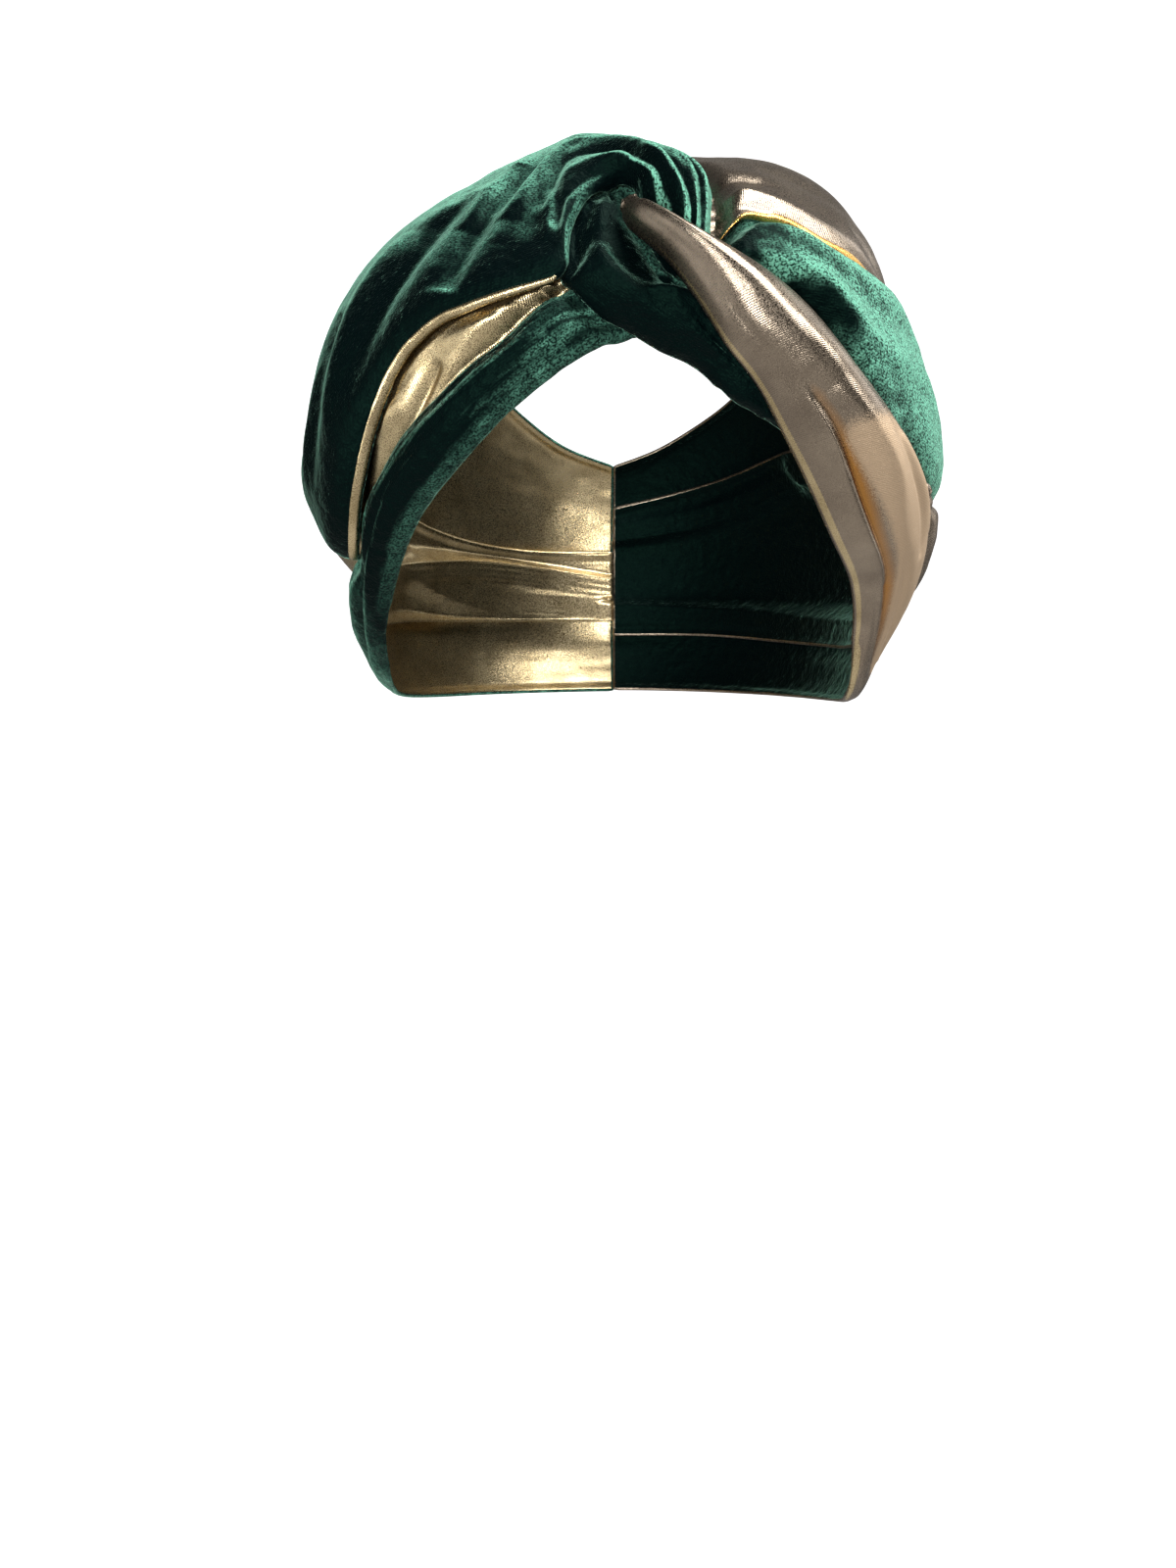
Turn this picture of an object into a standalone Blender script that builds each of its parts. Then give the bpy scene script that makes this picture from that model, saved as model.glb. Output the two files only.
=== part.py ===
"""Two-tone twisted turban headband in the form it takes when worn.

Each half of the band is a wide strip of velvet backed with lame. The halves loop through
each other at the front, and each spreads into leaves that run round to a seam at the back.
Metres, +Z up, front towards -Y, origin in the middle of the head that fills the band.
"""
import bmesh
import bpy
from collections import namedtuple
from math import cos, degrees, exp, pi, radians, sin
from mathutils import Vector
from mathutils.bvhtree import BVHTree

# Driving sizes
HEAD_WIDTH = 0.160
HEAD_LENGTH = 0.194
HEAD_HEIGHT = 0.220
FULLNESS = 0.020      # how far a full leaf stands off the head
WALL = 0.0018         # thickness of the doubled fabric
GAP = 0.0006          # clearance between one leaf and the next
PRESS = 0.0042        # how far beside an upper leaf the lower one is pressed down

# Angle round the head where the leaves stop short of the seam at the back
BACK = 180 - degrees((WALL + GAP) / HEAD_LENGTH)

STEEPEST = 0.6        # least cosine that the wall's slope is corrected for
DEEP = 0.075          # how far inside the head the feeler rays start, as a share of its width

# A section runs across a leaf, from its inner edge to its outer edge. Angles are degrees
# round the head and up from its middle, rises and puff are shares of FULLNESS.
Section = namedtuple("Section", "az_in el_in rise_in az_out el_out rise_out puff")

# A fold is a ridge (or a valley, with a negative height) along a leaf. Start and end are
# section numbers, the three sides say how far across it runs (0 inner edge, 1 outer edge),
# width is a share of the leaf's breadth and height a share of FULLNESS.
Fold = namedtuple("Fold", "start end side_start side_mid side_end width height")

Leaf = namedtuple("Leaf", "name material sections folds along across skew")

UPPER_LEFT_SECTIONS = [
    Section(7.0, 27.8, 0.62, 12.5, 25.5, 0.60, 0.04),
    Section(3.8, 30.8, 0.72, 12.8, 29.5, 0.70, 0.14),
    Section(2.4, 34.8, 0.80, 14.2, 34.5, 0.68, 0.22),
    Section(1.0, 38.4, 0.84, 16.0, 41.5, 0.62, 0.22),
    Section(-2.6, 39.6, 0.84, 13.5, 51.0, 0.34, 0.18),
    Section(-7.5, 37.4, 0.82, 1.0, 62.5, 0.18, 0.12),
    Section(-10.4, 33.0, 0.76, -22.0, 69.0, 0.12, 0.14),
    Section(-11.4, 27.6, 0.64, -42.0, 68.5, 0.10, 0.13),
    Section(-18.0, 25.8, 0.64, -56.0, 66.0, 0.10, 0.12),
    Section(-26.0, 24.2, 0.68, -66.0, 62.5, 0.10, 0.13),
    Section(-34.0, 22.2, 0.72, -73.0, 60.0, 0.10, 0.20),
    Section(-41.0, 18.0, 0.74, -79.0, 57.5, 0.10, 0.30),
    Section(-46.5, 11.0, 0.74, -85.0, 55.0, 0.10, 0.42),
    Section(-51.0, 4.5, 0.69, -90.0, 53.0, 0.10, 0.50),
    Section(-56.5, -1.5, 0.60, -95.0, 51.0, 0.10, 0.52),
    Section(-62.5, -4.5, 0.48, -100.0, 48.5, 0.10, 0.52),
    Section(-68.5, -0.5, 0.56, -106.0, 46.0, 0.10, 0.50),
    Section(-75.0, 5.5, 0.68, -112.0, 43.5, 0.10, 0.42),
    Section(-84.0, 9.0, 0.68, -119.0, 40.5, 0.10, 0.30),
    Section(-97.0, 6.0, 0.52, -129.0, 36.0, 0.10, 0.24),
    Section(-113.0, -2.0, 0.38, -140.0, 31.0, 0.10, 0.18),
    Section(-131.0, -7.5, 0.36, -152.0, 26.0, 0.10, 0.14),
    Section(-154.0, -10.5, 0.36, -165.0, 21.0, 0.10, 0.11),
    Section(-BACK, -12.0, 0.36, -BACK, 17.5, 0.10, 0.08),
]
UPPER_LEFT_FOLDS = [
    Fold(1, 9, 0.10, 0.16, 0.22, 0.05, 0.06),
    Fold(1, 10, 0.34, 0.30, 0.36, 0.06, 0.09),
    Fold(2, 10, 0.52, 0.46, 0.50, 0.05, -0.08),
    Fold(1, 9, 0.64, 0.60, 0.66, 0.06, 0.08),
    Fold(8, 13, 0.55, 0.30, 0.10, 0.06, 0.10),
    Fold(9, 15, 0.62, 0.42, 0.22, 0.05, -0.09),
    Fold(11, 16, 0.30, 0.34, 0.20, 0.07, 0.08),
    Fold(13, 20, 0.62, 0.50, 0.45, 0.06, -0.08),
]

LOWER_LEFT_SECTIONS = [
    Section(4.0, 24.5, 0.17, -4.0, 29.0, 0.42, 0.05),
    Section(-0.5, 22.9, 0.15, -9.8, 27.2, 0.44, 0.08),
    Section(-8.0, 20.7, 0.13, -16.0, 23.7, 0.42, 0.08),
    Section(-15.7, 17.3, 0.13, -22.0, 19.8, 0.41, 0.08),
    Section(-23.6, 13.0, 0.13, -28.0, 17.2, 0.40, 0.08),
    Section(-32.2, 7.6, 0.13, -34.5, 13.7, 0.40, 0.08),
    Section(-42.3, 1.8, 0.13, -41.5, 10.0, 0.40, 0.09),
    Section(-50.5, -4.0, 0.13, -48.5, 5.0, 0.40, 0.10),
    Section(-58.0, -9.8, 0.13, -56.5, 0.0, 0.38, 0.10),
    Section(-65.0, -15.5, 0.13, -66.0, -5.5, 0.32, 0.08),
    Section(-71.0, -20.0, 0.13, -73.0, -8.5, 0.29, 0.09),
    Section(-78.0, -24.0, 0.13, -81.0, -9.0, 0.27, 0.10),
    Section(-92.0, -27.0, 0.17, -93.0, -8.0, 0.28, 0.11),
    Section(-115.0, -28.5, 0.20, -115.0, -5.0, 0.28, 0.10),
    Section(-145.0, -29.0, 0.20, -145.0, -4.0, 0.26, 0.08),
    Section(-BACK, -29.0, 0.20, -BACK, -7.0, 0.24, 0.06),
]
LOWER_LEFT_FOLDS = [
    Fold(0, 7, 0.35, 0.45, 0.55, 0.10, 0.07),
    Fold(1, 6, 0.72, 0.75, 0.80, 0.08, -0.07),
    Fold(8, 13, 0.75, 0.50, 0.30, 0.10, 0.07),
]

KNOT_SECTIONS = [
    Section(-14.0, 39.0, 0.48, -1.0, 48.0, 0.42, 0.04),
    Section(-13.0, 32.0, 0.56, 4.0, 41.5, 0.50, 0.12),
    Section(-11.8, 28.0, 0.58, 7.0, 35.0, 0.52, 0.14),
    Section(-9.0, 25.9, 0.52, 8.5, 30.0, 0.54, 0.13),
    Section(-4.8, 23.9, 0.38, 10.5, 27.5, 0.54, 0.14),
    Section(0.4, 22.7, 0.24, 12.5, 25.0, 0.52, 0.14),
    Section(6.5, 20.6, 0.15, 15.5, 22.3, 0.46, 0.11),
    Section(13.5, 18.3, 0.15, 19.5, 19.5, 0.38, 0.08),
    Section(20.0, 14.2, 0.15, 25.0, 16.2, 0.32, 0.05),
    Section(27.0, 11.8, 0.15, 30.5, 13.6, 0.28, 0.03),
    Section(32.5, 10.0, 0.14, 35.5, 11.6, 0.22, 0.01),
]
KNOT_FOLDS = [
    Fold(1, 8, 0.30, 0.45, 0.50, 0.10, 0.09),
    Fold(1, 8, 0.62, 0.72, 0.78, 0.09, 0.08),
    Fold(0, 6, 0.45, 0.58, 0.66, 0.07, -0.07),
]

FRONT_FLAP_SECTIONS = [
    Section(-1.2, 34.8, 0.84, 0.3, 35.4, 0.87, 0.00),
    Section(-0.4, 31.6, 0.90, 2.6, 32.8, 0.94, 0.10),
    Section(4.0, 26.7, 0.93, 9.0, 27.7, 0.97, 0.20),
    Section(8.7, 21.9, 0.88, 19.2, 24.1, 0.92, 0.26),
    Section(13.1, 17.8, 0.77, 25.4, 20.8, 0.90, 0.28),
    Section(18.9, 14.5, 0.59, 30.4, 16.2, 0.92, 0.35),
    Section(25.2, 9.9, 0.41, 36.6, 12.3, 0.90, 0.40),
    Section(32.5, 3.7, 0.30, 45.1, 7.9, 0.86, 0.40),
    Section(40.5, -2.4, 0.24, 54.0, 3.2, 0.80, 0.36),
    Section(51.3, -8.8, 0.22, 61.0, -2.0, 0.70, 0.28),
    Section(59.3, -15.5, 0.20, 69.0, -8.5, 0.53, 0.16),
    Section(66.0, -23.0, 0.19, 77.5, -14.0, 0.31, 0.06),
    Section(74.0, -27.0, 0.16, 92.0, -15.5, 0.28, 0.06),
    Section(98.0, -28.5, 0.16, 116.0, -15.0, 0.24, 0.06),
    Section(135.0, -29.0, 0.15, 145.0, -13.5, 0.21, 0.06),
    Section(BACK, -29.0, 0.15, BACK, -12.5, 0.20, 0.05),
]
FRONT_FLAP_FOLDS = [
    Fold(1, 11, 0.10, 0.10, 0.16, 0.05, 0.05),
    Fold(5, 11, 0.30, 0.24, 0.34, 0.07, -0.10),
    Fold(6, 12, 0.46, 0.42, 0.52, 0.08, 0.09),
    Fold(2, 6, 0.70, 0.60, 0.50, 0.12, -0.06),
]

RIGHT_FOLD_SECTIONS = [
    Section(38.5, 15.5, 0.56, 38.0, 8.0, 0.50, 0.00),
    Section(41.5, 15.5, 0.58, 40.5, 4.5, 0.50, 0.02),
    Section(47.0, 15.0, 0.60, 45.0, 0.5, 0.50, 0.06),
    Section(54.0, 13.5, 0.60, 52.0, -3.5, 0.50, 0.12),
    Section(61.5, 11.5, 0.64, 60.0, -8.0, 0.48, 0.24),
    Section(70.0, 10.5, 0.70, 70.0, -13.0, 0.38, 0.27),
    Section(81.0, 10.5, 0.62, 81.0, -17.0, 0.30, 0.26),
    Section(95.0, 12.5, 0.44, 94.0, -18.5, 0.26, 0.26),
    Section(110.0, 16.0, 0.28, 110.0, -18.5, 0.20, 0.20),
    Section(126.0, 17.5, 0.18, 127.0, -18.0, 0.17, 0.16),
    Section(150.0, 13.5, 0.16, 152.0, -17.0, 0.14, 0.12),
    Section(BACK, 9.0, 0.15, BACK, -17.0, 0.13, 0.08),
]
RIGHT_FOLD_FOLDS = [
    Fold(2, 7, 0.36, 0.45, 0.60, 0.09, -0.12),
    Fold(2, 8, 0.16, 0.22, 0.34, 0.07, 0.08),
]

RIGHT_VELVET_SECTIONS = [
    Section(8.0, 32.0, 0.58, 7.5, 25.5, 0.60, 0.00),
    Section(14.0, 31.6, 0.72, 15.0, 22.5, 0.74, 0.04),
    Section(20.5, 32.8, 0.80, 21.0, 19.5, 0.82, 0.12),
    Section(27.0, 33.5, 0.84, 26.0, 16.0, 0.84, 0.18),
    Section(34.5, 33.5, 0.84, 32.0, 12.8, 0.80, 0.22),
    Section(42.0, 33.5, 0.80, 39.0, 11.0, 0.74, 0.24),
    Section(50.0, 33.0, 0.74, 46.0, 11.0, 0.74, 0.25),
    Section(58.0, 32.0, 0.66, 52.5, 10.3, 0.78, 0.23),
    Section(67.0, 30.5, 0.60, 59.5, 7.4, 0.82, 0.21),
    Section(78.0, 28.0, 0.52, 70.0, 4.5, 0.84, 0.22),
    Section(90.0, 25.0, 0.42, 84.0, 4.0, 0.76, 0.22),
    Section(103.0, 21.5, 0.32, 97.0, 6.0, 0.54, 0.14),
    Section(114.0, 18.5, 0.26, 109.0, 10.0, 0.36, 0.06),
    Section(124.0, 16.0, 0.20, 121.0, 13.0, 0.26, 0.02),
]
RIGHT_VELVET_FOLDS = [
    Fold(1, 8, 0.30, 0.38, 0.42, 0.09, 0.10),
    Fold(3, 10, 0.50, 0.62, 0.66, 0.08, 0.09),
    Fold(2, 8, 0.62, 0.78, 0.80, 0.08, -0.10),
]

UPPER_RIGHT_SECTIONS = [
    Section(8.5, 33.5, 0.60, 8.0, 58.0, 0.12, -0.06),
    Section(13.6, 30.6, 0.80, 22.0, 63.0, 0.10, -0.10),
    Section(20.5, 31.3, 0.88, 38.0, 65.0, 0.10, -0.05),
    Section(27.5, 31.3, 0.92, 52.0, 64.5, 0.10, 0.05),
    Section(34.5, 30.2, 0.92, 64.0, 62.0, 0.10, 0.16),
    Section(42.0, 29.8, 0.88, 75.0, 58.0, 0.10, 0.21),
    Section(50.0, 29.6, 0.80, 86.0, 53.0, 0.10, 0.22),
    Section(58.0, 28.8, 0.72, 96.0, 48.0, 0.10, 0.23),
    Section(68.0, 27.0, 0.66, 106.0, 43.5, 0.10, 0.23),
    Section(80.0, 24.5, 0.58, 117.0, 39.0, 0.10, 0.22),
    Section(94.0, 21.0, 0.48, 129.0, 34.0, 0.10, 0.18),
    Section(111.0, 16.5, 0.36, 142.0, 29.0, 0.10, 0.14),
    Section(131.0, 11.5, 0.30, 155.0, 24.5, 0.10, 0.10),
    Section(153.0, 7.0, 0.26, 167.0, 20.5, 0.10, 0.08),
    Section(BACK, 4.0, 0.25, BACK, 17.5, 0.10, 0.06),
]
UPPER_RIGHT_FOLDS = [
    Fold(1, 6, 0.30, 0.26, 0.18, 0.07, 0.07),
    Fold(2, 9, 0.50, 0.44, 0.36, 0.08, -0.07),
]

LEFT_LINING_SECTIONS = [
    Section(-9.0, 25.0, 0.26, -10.0, 30.0, 0.32, 0.03),
    Section(-17.0, 20.5, 0.30, -18.0, 30.0, 0.26, 0.10),
    Section(-26.0, 16.5, 0.36, -28.0, 30.0, 0.20, 0.18),
    Section(-34.0, 11.5, 0.36, -38.0, 28.0, 0.20, 0.22),
    Section(-42.0, 6.8, 0.34, -47.0, 24.0, 0.28, 0.22),
    Section(-50.0, 1.8, 0.32, -56.0, 19.0, 0.42, 0.18),
    Section(-58.0, -5.0, 0.22, -65.0, 15.0, 0.66, 0.18),
    Section(-67.0, -12.0, 0.15, -74.0, 14.0, 0.74, 0.14),
    Section(-78.0, -14.5, 0.14, -84.0, 15.0, 0.66, 0.16),
    Section(-94.0, -14.5, 0.14, -97.0, 12.0, 0.44, 0.14),
    Section(-112.0, -14.0, 0.14, -112.0, 6.0, 0.26, 0.08),
    Section(-132.0, -14.0, 0.13, -132.0, 2.0, 0.18, 0.04),
    Section(-155.0, -14.0, 0.12, -155.0, 0.0, 0.16, 0.02),
    Section(-BACK, -14.0, 0.12, -BACK, 0.0, 0.14, 0.02),
]
LEFT_LINING_FOLDS = [
    Fold(1, 7, 0.74, 0.80, 0.80, 0.07, -0.10),
    Fold(1, 7, 0.58, 0.62, 0.64, 0.06, 0.09),
    Fold(2, 7, 0.44, 0.48, 0.50, 0.06, -0.07),
]


def lame_material(name, colour, roughness):
    material = bpy.data.materials.new(name)
    material.use_nodes = True
    shader = material.node_tree.nodes["Principled BSDF"]
    shader.inputs["Base Color"].default_value = colour
    shader.inputs["Roughness"].default_value = roughness
    shader.inputs["Metallic"].default_value = 0.85
    return material


def velvet_material(name, colour):
    material = bpy.data.materials.new(name)
    material.use_nodes = True
    shader = material.node_tree.nodes["Principled BSDF"]
    shader.inputs["Base Color"].default_value = colour
    shader.inputs["Roughness"].default_value = 0.75
    shader.inputs["Metallic"].default_value = 0.0
    shader.inputs["Sheen Weight"].default_value = 0.8
    return material


def direction(azimuth, elevation):
    """Unit vector at an angle round the head from the front and an angle up."""
    az = radians(azimuth)
    el = radians(elevation)
    return Vector((sin(az) * cos(el), -cos(az) * cos(el), sin(el)))


def head_normal(way):
    normal = Vector((way.x / HEAD_WIDTH, way.y / HEAD_LENGTH, way.z / HEAD_HEIGHT))
    return normal.normalized()


def head_point(way, rise):
    """The point that stands off the head by rise, in the given direction."""
    skin = Vector((way.x * HEAD_WIDTH, way.y * HEAD_LENGTH, way.z * HEAD_HEIGHT)) / 2
    return skin + head_normal(way) * rise


def smooth_row(rows, place):
    """Catmull-Rom blend of the table's rows at a fractional row number."""
    first = min(int(place), len(rows) - 2)
    u = place - first
    before = rows[max(first - 1, 0)]
    here = rows[first]
    there = rows[first + 1]
    after = rows[min(first + 2, len(rows) - 1)]
    blended = []
    for a, b, c, d in zip(before, here, there, after):
        curve = (2 * a - 5 * b + 4 * c - d) * u ** 2 + (3 * b - a - 3 * c + d) * u ** 3
        blended.append(b + 0.5 * ((c - a) * u + curve))
    return Section(*blended)


def fold_rise(folds, place, across):
    """Height that the folds add at a fractional section number and a share across."""
    total = 0.0
    for fold in folds:
        if not fold.start < place < fold.end:
            continue
        u = (place - fold.start) / (fold.end - fold.start)
        side = (1 - u) ** 2 * fold.side_start + u ** 2 * fold.side_end
        side += 2 * u * (1 - u) * (2 * fold.side_mid - (fold.side_start + fold.side_end) / 2)
        fade = sin(pi * u) ** 0.7
        total += fold.height * fade * exp(-((across - side) / fold.width) ** 2)
    return total * FULLNESS


def leaf_ways_and_rises(leaf):
    """Directions and stand-offs of a leaf's outer face, on a grid along and across it."""
    ways = []
    rises = []
    for i in range(leaf.along + 1):
        place = i * (len(leaf.sections) - 1) / leaf.along
        row = smooth_row(leaf.sections, place)
        start = direction(row.az_in, row.el_in)
        end = direction(row.az_out, row.el_out)
        row_ways = []
        row_rises = []
        for j in range(leaf.across + 1):
            t = j / leaf.across
            row_ways.append(start.slerp(end, t))
            crown = sin(pi * t ** leaf.skew) ** 0.8 if 0 < t < 1 else 0.0
            rise = row.rise_in * (1 - t) + row.rise_out * t + row.puff * crown
            row_rises.append(rise * FULLNESS + fold_rise(leaf.folds, place, t))
        ways.append(row_ways)
        rises.append(row_rises)
    return ways, rises


def neighbours(grid, i, j):
    for k, m in ((i - 1, j), (i + 1, j), (i, j - 1), (i, j + 1)):
        if 0 <= k < len(grid) and 0 <= m < len(grid[0]):
            yield grid[k][m]


def room_under(way, covers):
    """Least stand-off of the leaves above, felt along the head's normal and round it."""
    normal = head_normal(way)
    depth = DEEP * HEAD_WIDTH
    base = head_point(way, -depth)
    side = normal.cross(Vector((0, 0, 1))).normalized() * PRESS
    up = side.cross(normal).normalized() * PRESS
    starts = [base]
    for step in range(8):
        turn = step * pi / 4
        offset = side * cos(turn) + up * sin(turn)
        starts += [base + offset * share for share in (1, 2 / 3, 1 / 3)]
    least = None
    for start in starts:
        beyond_seam = start.y > 0 and start.x * way.x < 0
        if beyond_seam:
            continue
        for tree in covers:
            hit = tree.ray_cast(start, normal)
            if hit[0] is not None and (least is None or hit[3] < least):
                least = hit[3]
    return None if least is None else least - depth - GAP


def settle(ways, rises, covers):
    """Press a leaf down wherever an upper leaf lies over it or close beside it."""
    drops = []
    for row_ways, row_rises in zip(ways, rises):
        drop_row = []
        for way, rise in zip(row_ways, row_rises):
            room = room_under(way, covers)
            drop_row.append(0.0 if room is None else max(0.0, rise - room))
        drops.append(drop_row)
    eased = [list(row) for row in drops]
    for _ in range(3):
        blurred = []
        for i, row in enumerate(eased):
            blurred_row = []
            for j, drop in enumerate(row):
                near = list(neighbours(eased, i, j))
                blurred_row.append(max(drops[i][j], (drop + sum(near)) / (1 + len(near))))
            blurred.append(blurred_row)
        eased = blurred
    return [[rise - drop for rise, drop in zip(*pair)] for pair in zip(rises, eased)]


def shell_faces(along, across):
    """Quads of a closed shell: outer grid, inner grid, and two rows round the hem."""
    wide = across + 1
    count = (along + 1) * wide
    faces = []
    for i in range(along):
        for j in range(across):
            corner = i * wide + j
            faces.append((corner, corner + 1, corner + wide + 1, corner + wide))
            lower = corner + count
            faces.append((lower, lower + wide, lower + wide + 1, lower + 1))
    loop = [j for j in range(across)]
    loop += [i * wide + across for i in range(along)]
    loop += [along * wide + j for j in range(across, 0, -1)]
    loop += [i * wide for i in range(along, 0, -1)]
    for k, here in enumerate(loop):
        there = loop[(k + 1) % len(loop)]
        hem_here = 2 * count + k
        hem_there = 2 * count + (k + 1) % len(loop)
        faces.append((here, hem_here, hem_there, there))
        faces.append((hem_here, here + count, there + count, hem_there))
    return faces, loop


def surface_cosine(outer, i, j, normal):
    """How squarely the leaf's face meets the head's normal."""
    ahead = outer[min(i + 1, len(outer) - 1)][j] - outer[max(i - 1, 0)][j]
    aside = outer[i][min(j + 1, len(outer[0]) - 1)] - outer[i][max(j - 1, 0)]
    facing = ahead.cross(aside)
    if facing.length == 0:
        return 1.0
    return max(abs(facing.normalized().dot(normal)), STEEPEST)


def build_leaf(leaf, covers):
    """A closed cloth shell for one leaf, and the tree that the leaves below feel."""
    ways, rises = leaf_ways_and_rises(leaf)
    rises = settle(ways, rises, covers)
    outer = []
    for row_ways, row_rises in zip(ways, rises):
        outer.append([head_point(way, rise) for way, rise in zip(row_ways, row_rises)])
    inner = []
    for i, row_ways in enumerate(ways):
        inner_row = []
        for j, way in enumerate(row_ways):
            thick = WALL / surface_cosine(outer, i, j, head_normal(way))
            inner_row.append(head_point(way, rises[i][j] - thick))
        inner.append(inner_row)
    points = [point for row in outer for point in row]
    points += [point for row in inner for point in row]
    faces, loop = shell_faces(leaf.along, leaf.across)
    wide = leaf.across + 1
    for index in loop:
        i, j = divmod(index, wide)
        middle = (outer[i][j] + inner[i][j]) / 2
        back_i = min(max(i, 1), leaf.along - 1)
        back_j = min(max(j, 1), leaf.across - 1)
        inward = (outer[back_i][back_j] + inner[back_i][back_j]) / 2
        points.append(middle + (middle - inward).normalized() * WALL / 2)
    mesh = bpy.data.meshes.new(leaf.name)
    mesh.from_pydata(points, [], faces)
    shell = bmesh.new()
    shell.from_mesh(mesh)
    bmesh.ops.recalc_face_normals(shell, faces=shell.faces)
    shell.to_mesh(mesh)
    shell.free()
    mesh.materials.append(leaf.material)
    mesh.shade_smooth()
    piece = bpy.data.objects.new(leaf.name, mesh)
    bpy.context.scene.collection.objects.link(piece)
    return BVHTree.FromPolygons(points, faces)


def main():
    for thing in list(bpy.data.objects):
        bpy.data.objects.remove(thing)
    velvet = velvet_material("emerald_velvet", (0.008, 0.085, 0.045, 1.0))
    gold = lame_material("gold_lame", (0.42, 0.30, 0.16, 1.0), 0.34)
    lining = lame_material("gold_lining", (0.46, 0.34, 0.16, 1.0), 0.32)
    leaves = [
        Leaf("right_lame_flap", gold, FRONT_FLAP_SECTIONS, FRONT_FLAP_FOLDS, 34, 11, 0.8),
        Leaf("upper_left_velvet", velvet, UPPER_LEFT_SECTIONS, UPPER_LEFT_FOLDS, 46, 14, 0.75),
        Leaf("knot_velvet", velvet, KNOT_SECTIONS, KNOT_FOLDS, 18, 10, 1.0),
        Leaf("upper_right_lame", gold, UPPER_RIGHT_SECTIONS, UPPER_RIGHT_FOLDS, 28, 10, 0.75),
        Leaf("right_velvet_panel", velvet, RIGHT_VELVET_SECTIONS, RIGHT_VELVET_FOLDS, 24, 9, 1.0),
        Leaf("right_lame_fold", gold, RIGHT_FOLD_SECTIONS, RIGHT_FOLD_FOLDS, 24, 8, 1.0),
        Leaf("lower_left_velvet", velvet, LOWER_LEFT_SECTIONS, LOWER_LEFT_FOLDS, 32, 7, 1.0),
        Leaf("left_lame_lining", lining, LEFT_LINING_SECTIONS, LEFT_LINING_FOLDS, 24, 10, 0.65),
    ]
    covers = []
    for leaf in leaves:
        covers.append(build_leaf(leaf, covers))


main()
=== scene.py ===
"""Looks of the two-tone twisted turban headband: fine cloth leaves, rolled seams, velvet and lame.

Metres, +Z up, front towards -Y, origin in the middle of the head that fills the band.
The leaves are worked out from sections as the solids are, on finer grids and with finer folds.
Each leaf is pressed down where an upper leaf lies on it. The flap, the crescent and the top of
the panel follow the photograph more closely than the solids do, by some millimetres.
"""
import bmesh
import bpy
from collections import namedtuple
from math import cos, degrees, pi, radians, sin
import numpy as np
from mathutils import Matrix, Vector, noise
from mathutils.bvhtree import BVHTree


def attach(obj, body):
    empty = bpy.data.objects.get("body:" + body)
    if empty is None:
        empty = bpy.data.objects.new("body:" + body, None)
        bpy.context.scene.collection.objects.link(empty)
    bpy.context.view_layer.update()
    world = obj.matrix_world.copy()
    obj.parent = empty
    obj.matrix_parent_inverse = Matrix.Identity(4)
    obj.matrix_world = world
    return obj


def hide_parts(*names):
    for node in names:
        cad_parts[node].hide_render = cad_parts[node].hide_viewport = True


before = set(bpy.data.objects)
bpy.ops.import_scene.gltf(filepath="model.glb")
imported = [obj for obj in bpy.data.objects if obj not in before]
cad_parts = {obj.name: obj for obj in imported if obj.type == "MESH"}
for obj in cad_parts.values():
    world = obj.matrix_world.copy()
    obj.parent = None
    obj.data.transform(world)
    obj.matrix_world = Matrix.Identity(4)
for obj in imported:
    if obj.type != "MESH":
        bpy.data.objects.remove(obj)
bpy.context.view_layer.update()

# Driving sizes, the same as in the solids
HEAD_WIDTH = 0.160
HEAD_LENGTH = 0.194
HEAD_HEIGHT = 0.220
FULLNESS = 0.020      # how far a full leaf stands off the head
WALL = 0.0018         # thickness of the doubled fabric
GAP = 0.0006          # clearance between one leaf and the next
HEAD_SIZE = np.array((HEAD_WIDTH, HEAD_LENGTH, HEAD_HEIGHT))

# Angle round the head where the leaves stop short of the seam at the back
SEAM = 0.0002         # gap that is left between the two halves there
BACK = 180 - degrees((WALL + SEAM) / HEAD_LENGTH)

# Shape of a leaf
CROWN = 0.8           # exponent below 1 that flattens the top of a leaf's swell
STEEPEST = 0.5        # least cosine that the wall's slope is corrected for
EDGE_DEPTH = 0.0012   # how far the edge of a leaf rolls in towards the head
EDGE_WIDTH = 0.0022   # breadth of that roll
RIM = 3               # rows of points round a hem

# Pressing of the lower leaves by the upper ones
BELOW_HEAD = 0.012    # where the feeler rays start, inside the head
REACH = 0.045         # how far a feeler ray looks
PRESS = 0.0024        # how far beside an upper leaf the lower one is pressed down
FEELERS = 6           # feeler rays round each point, at that distance
EASE = 16             # smoothing passes where a leaf is pressed down

# Shape of a crease
CREASE_STEPS = 10     # steps of its line from one of its points to the next
CREASE_REACH = 4      # distance in widths past which it adds nothing
CREASE_ENDS = 0.6     # exponent below 1 that makes its ends blunter
CREASE_FLANKS = 1.7   # exponent of its profile, where 2 is a bell

# Unevenness of the cloth, in noise cells for each section and for the whole breadth
RIPPLES = (1.1, 7.0)
FINE_RIPPLES = (2.7, 2.1)    # the same for the fine ripples, as multiples of the wide ones
FINE_HEIGHT = 0.45    # height of the fine ripples as a share of the wide ones
FINE_LAYER = 4.0      # place in the noise where the fine ripples are read
RIPPLE_SHIFT = 0.37   # makes each leaf start elsewhere in the noise

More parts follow.
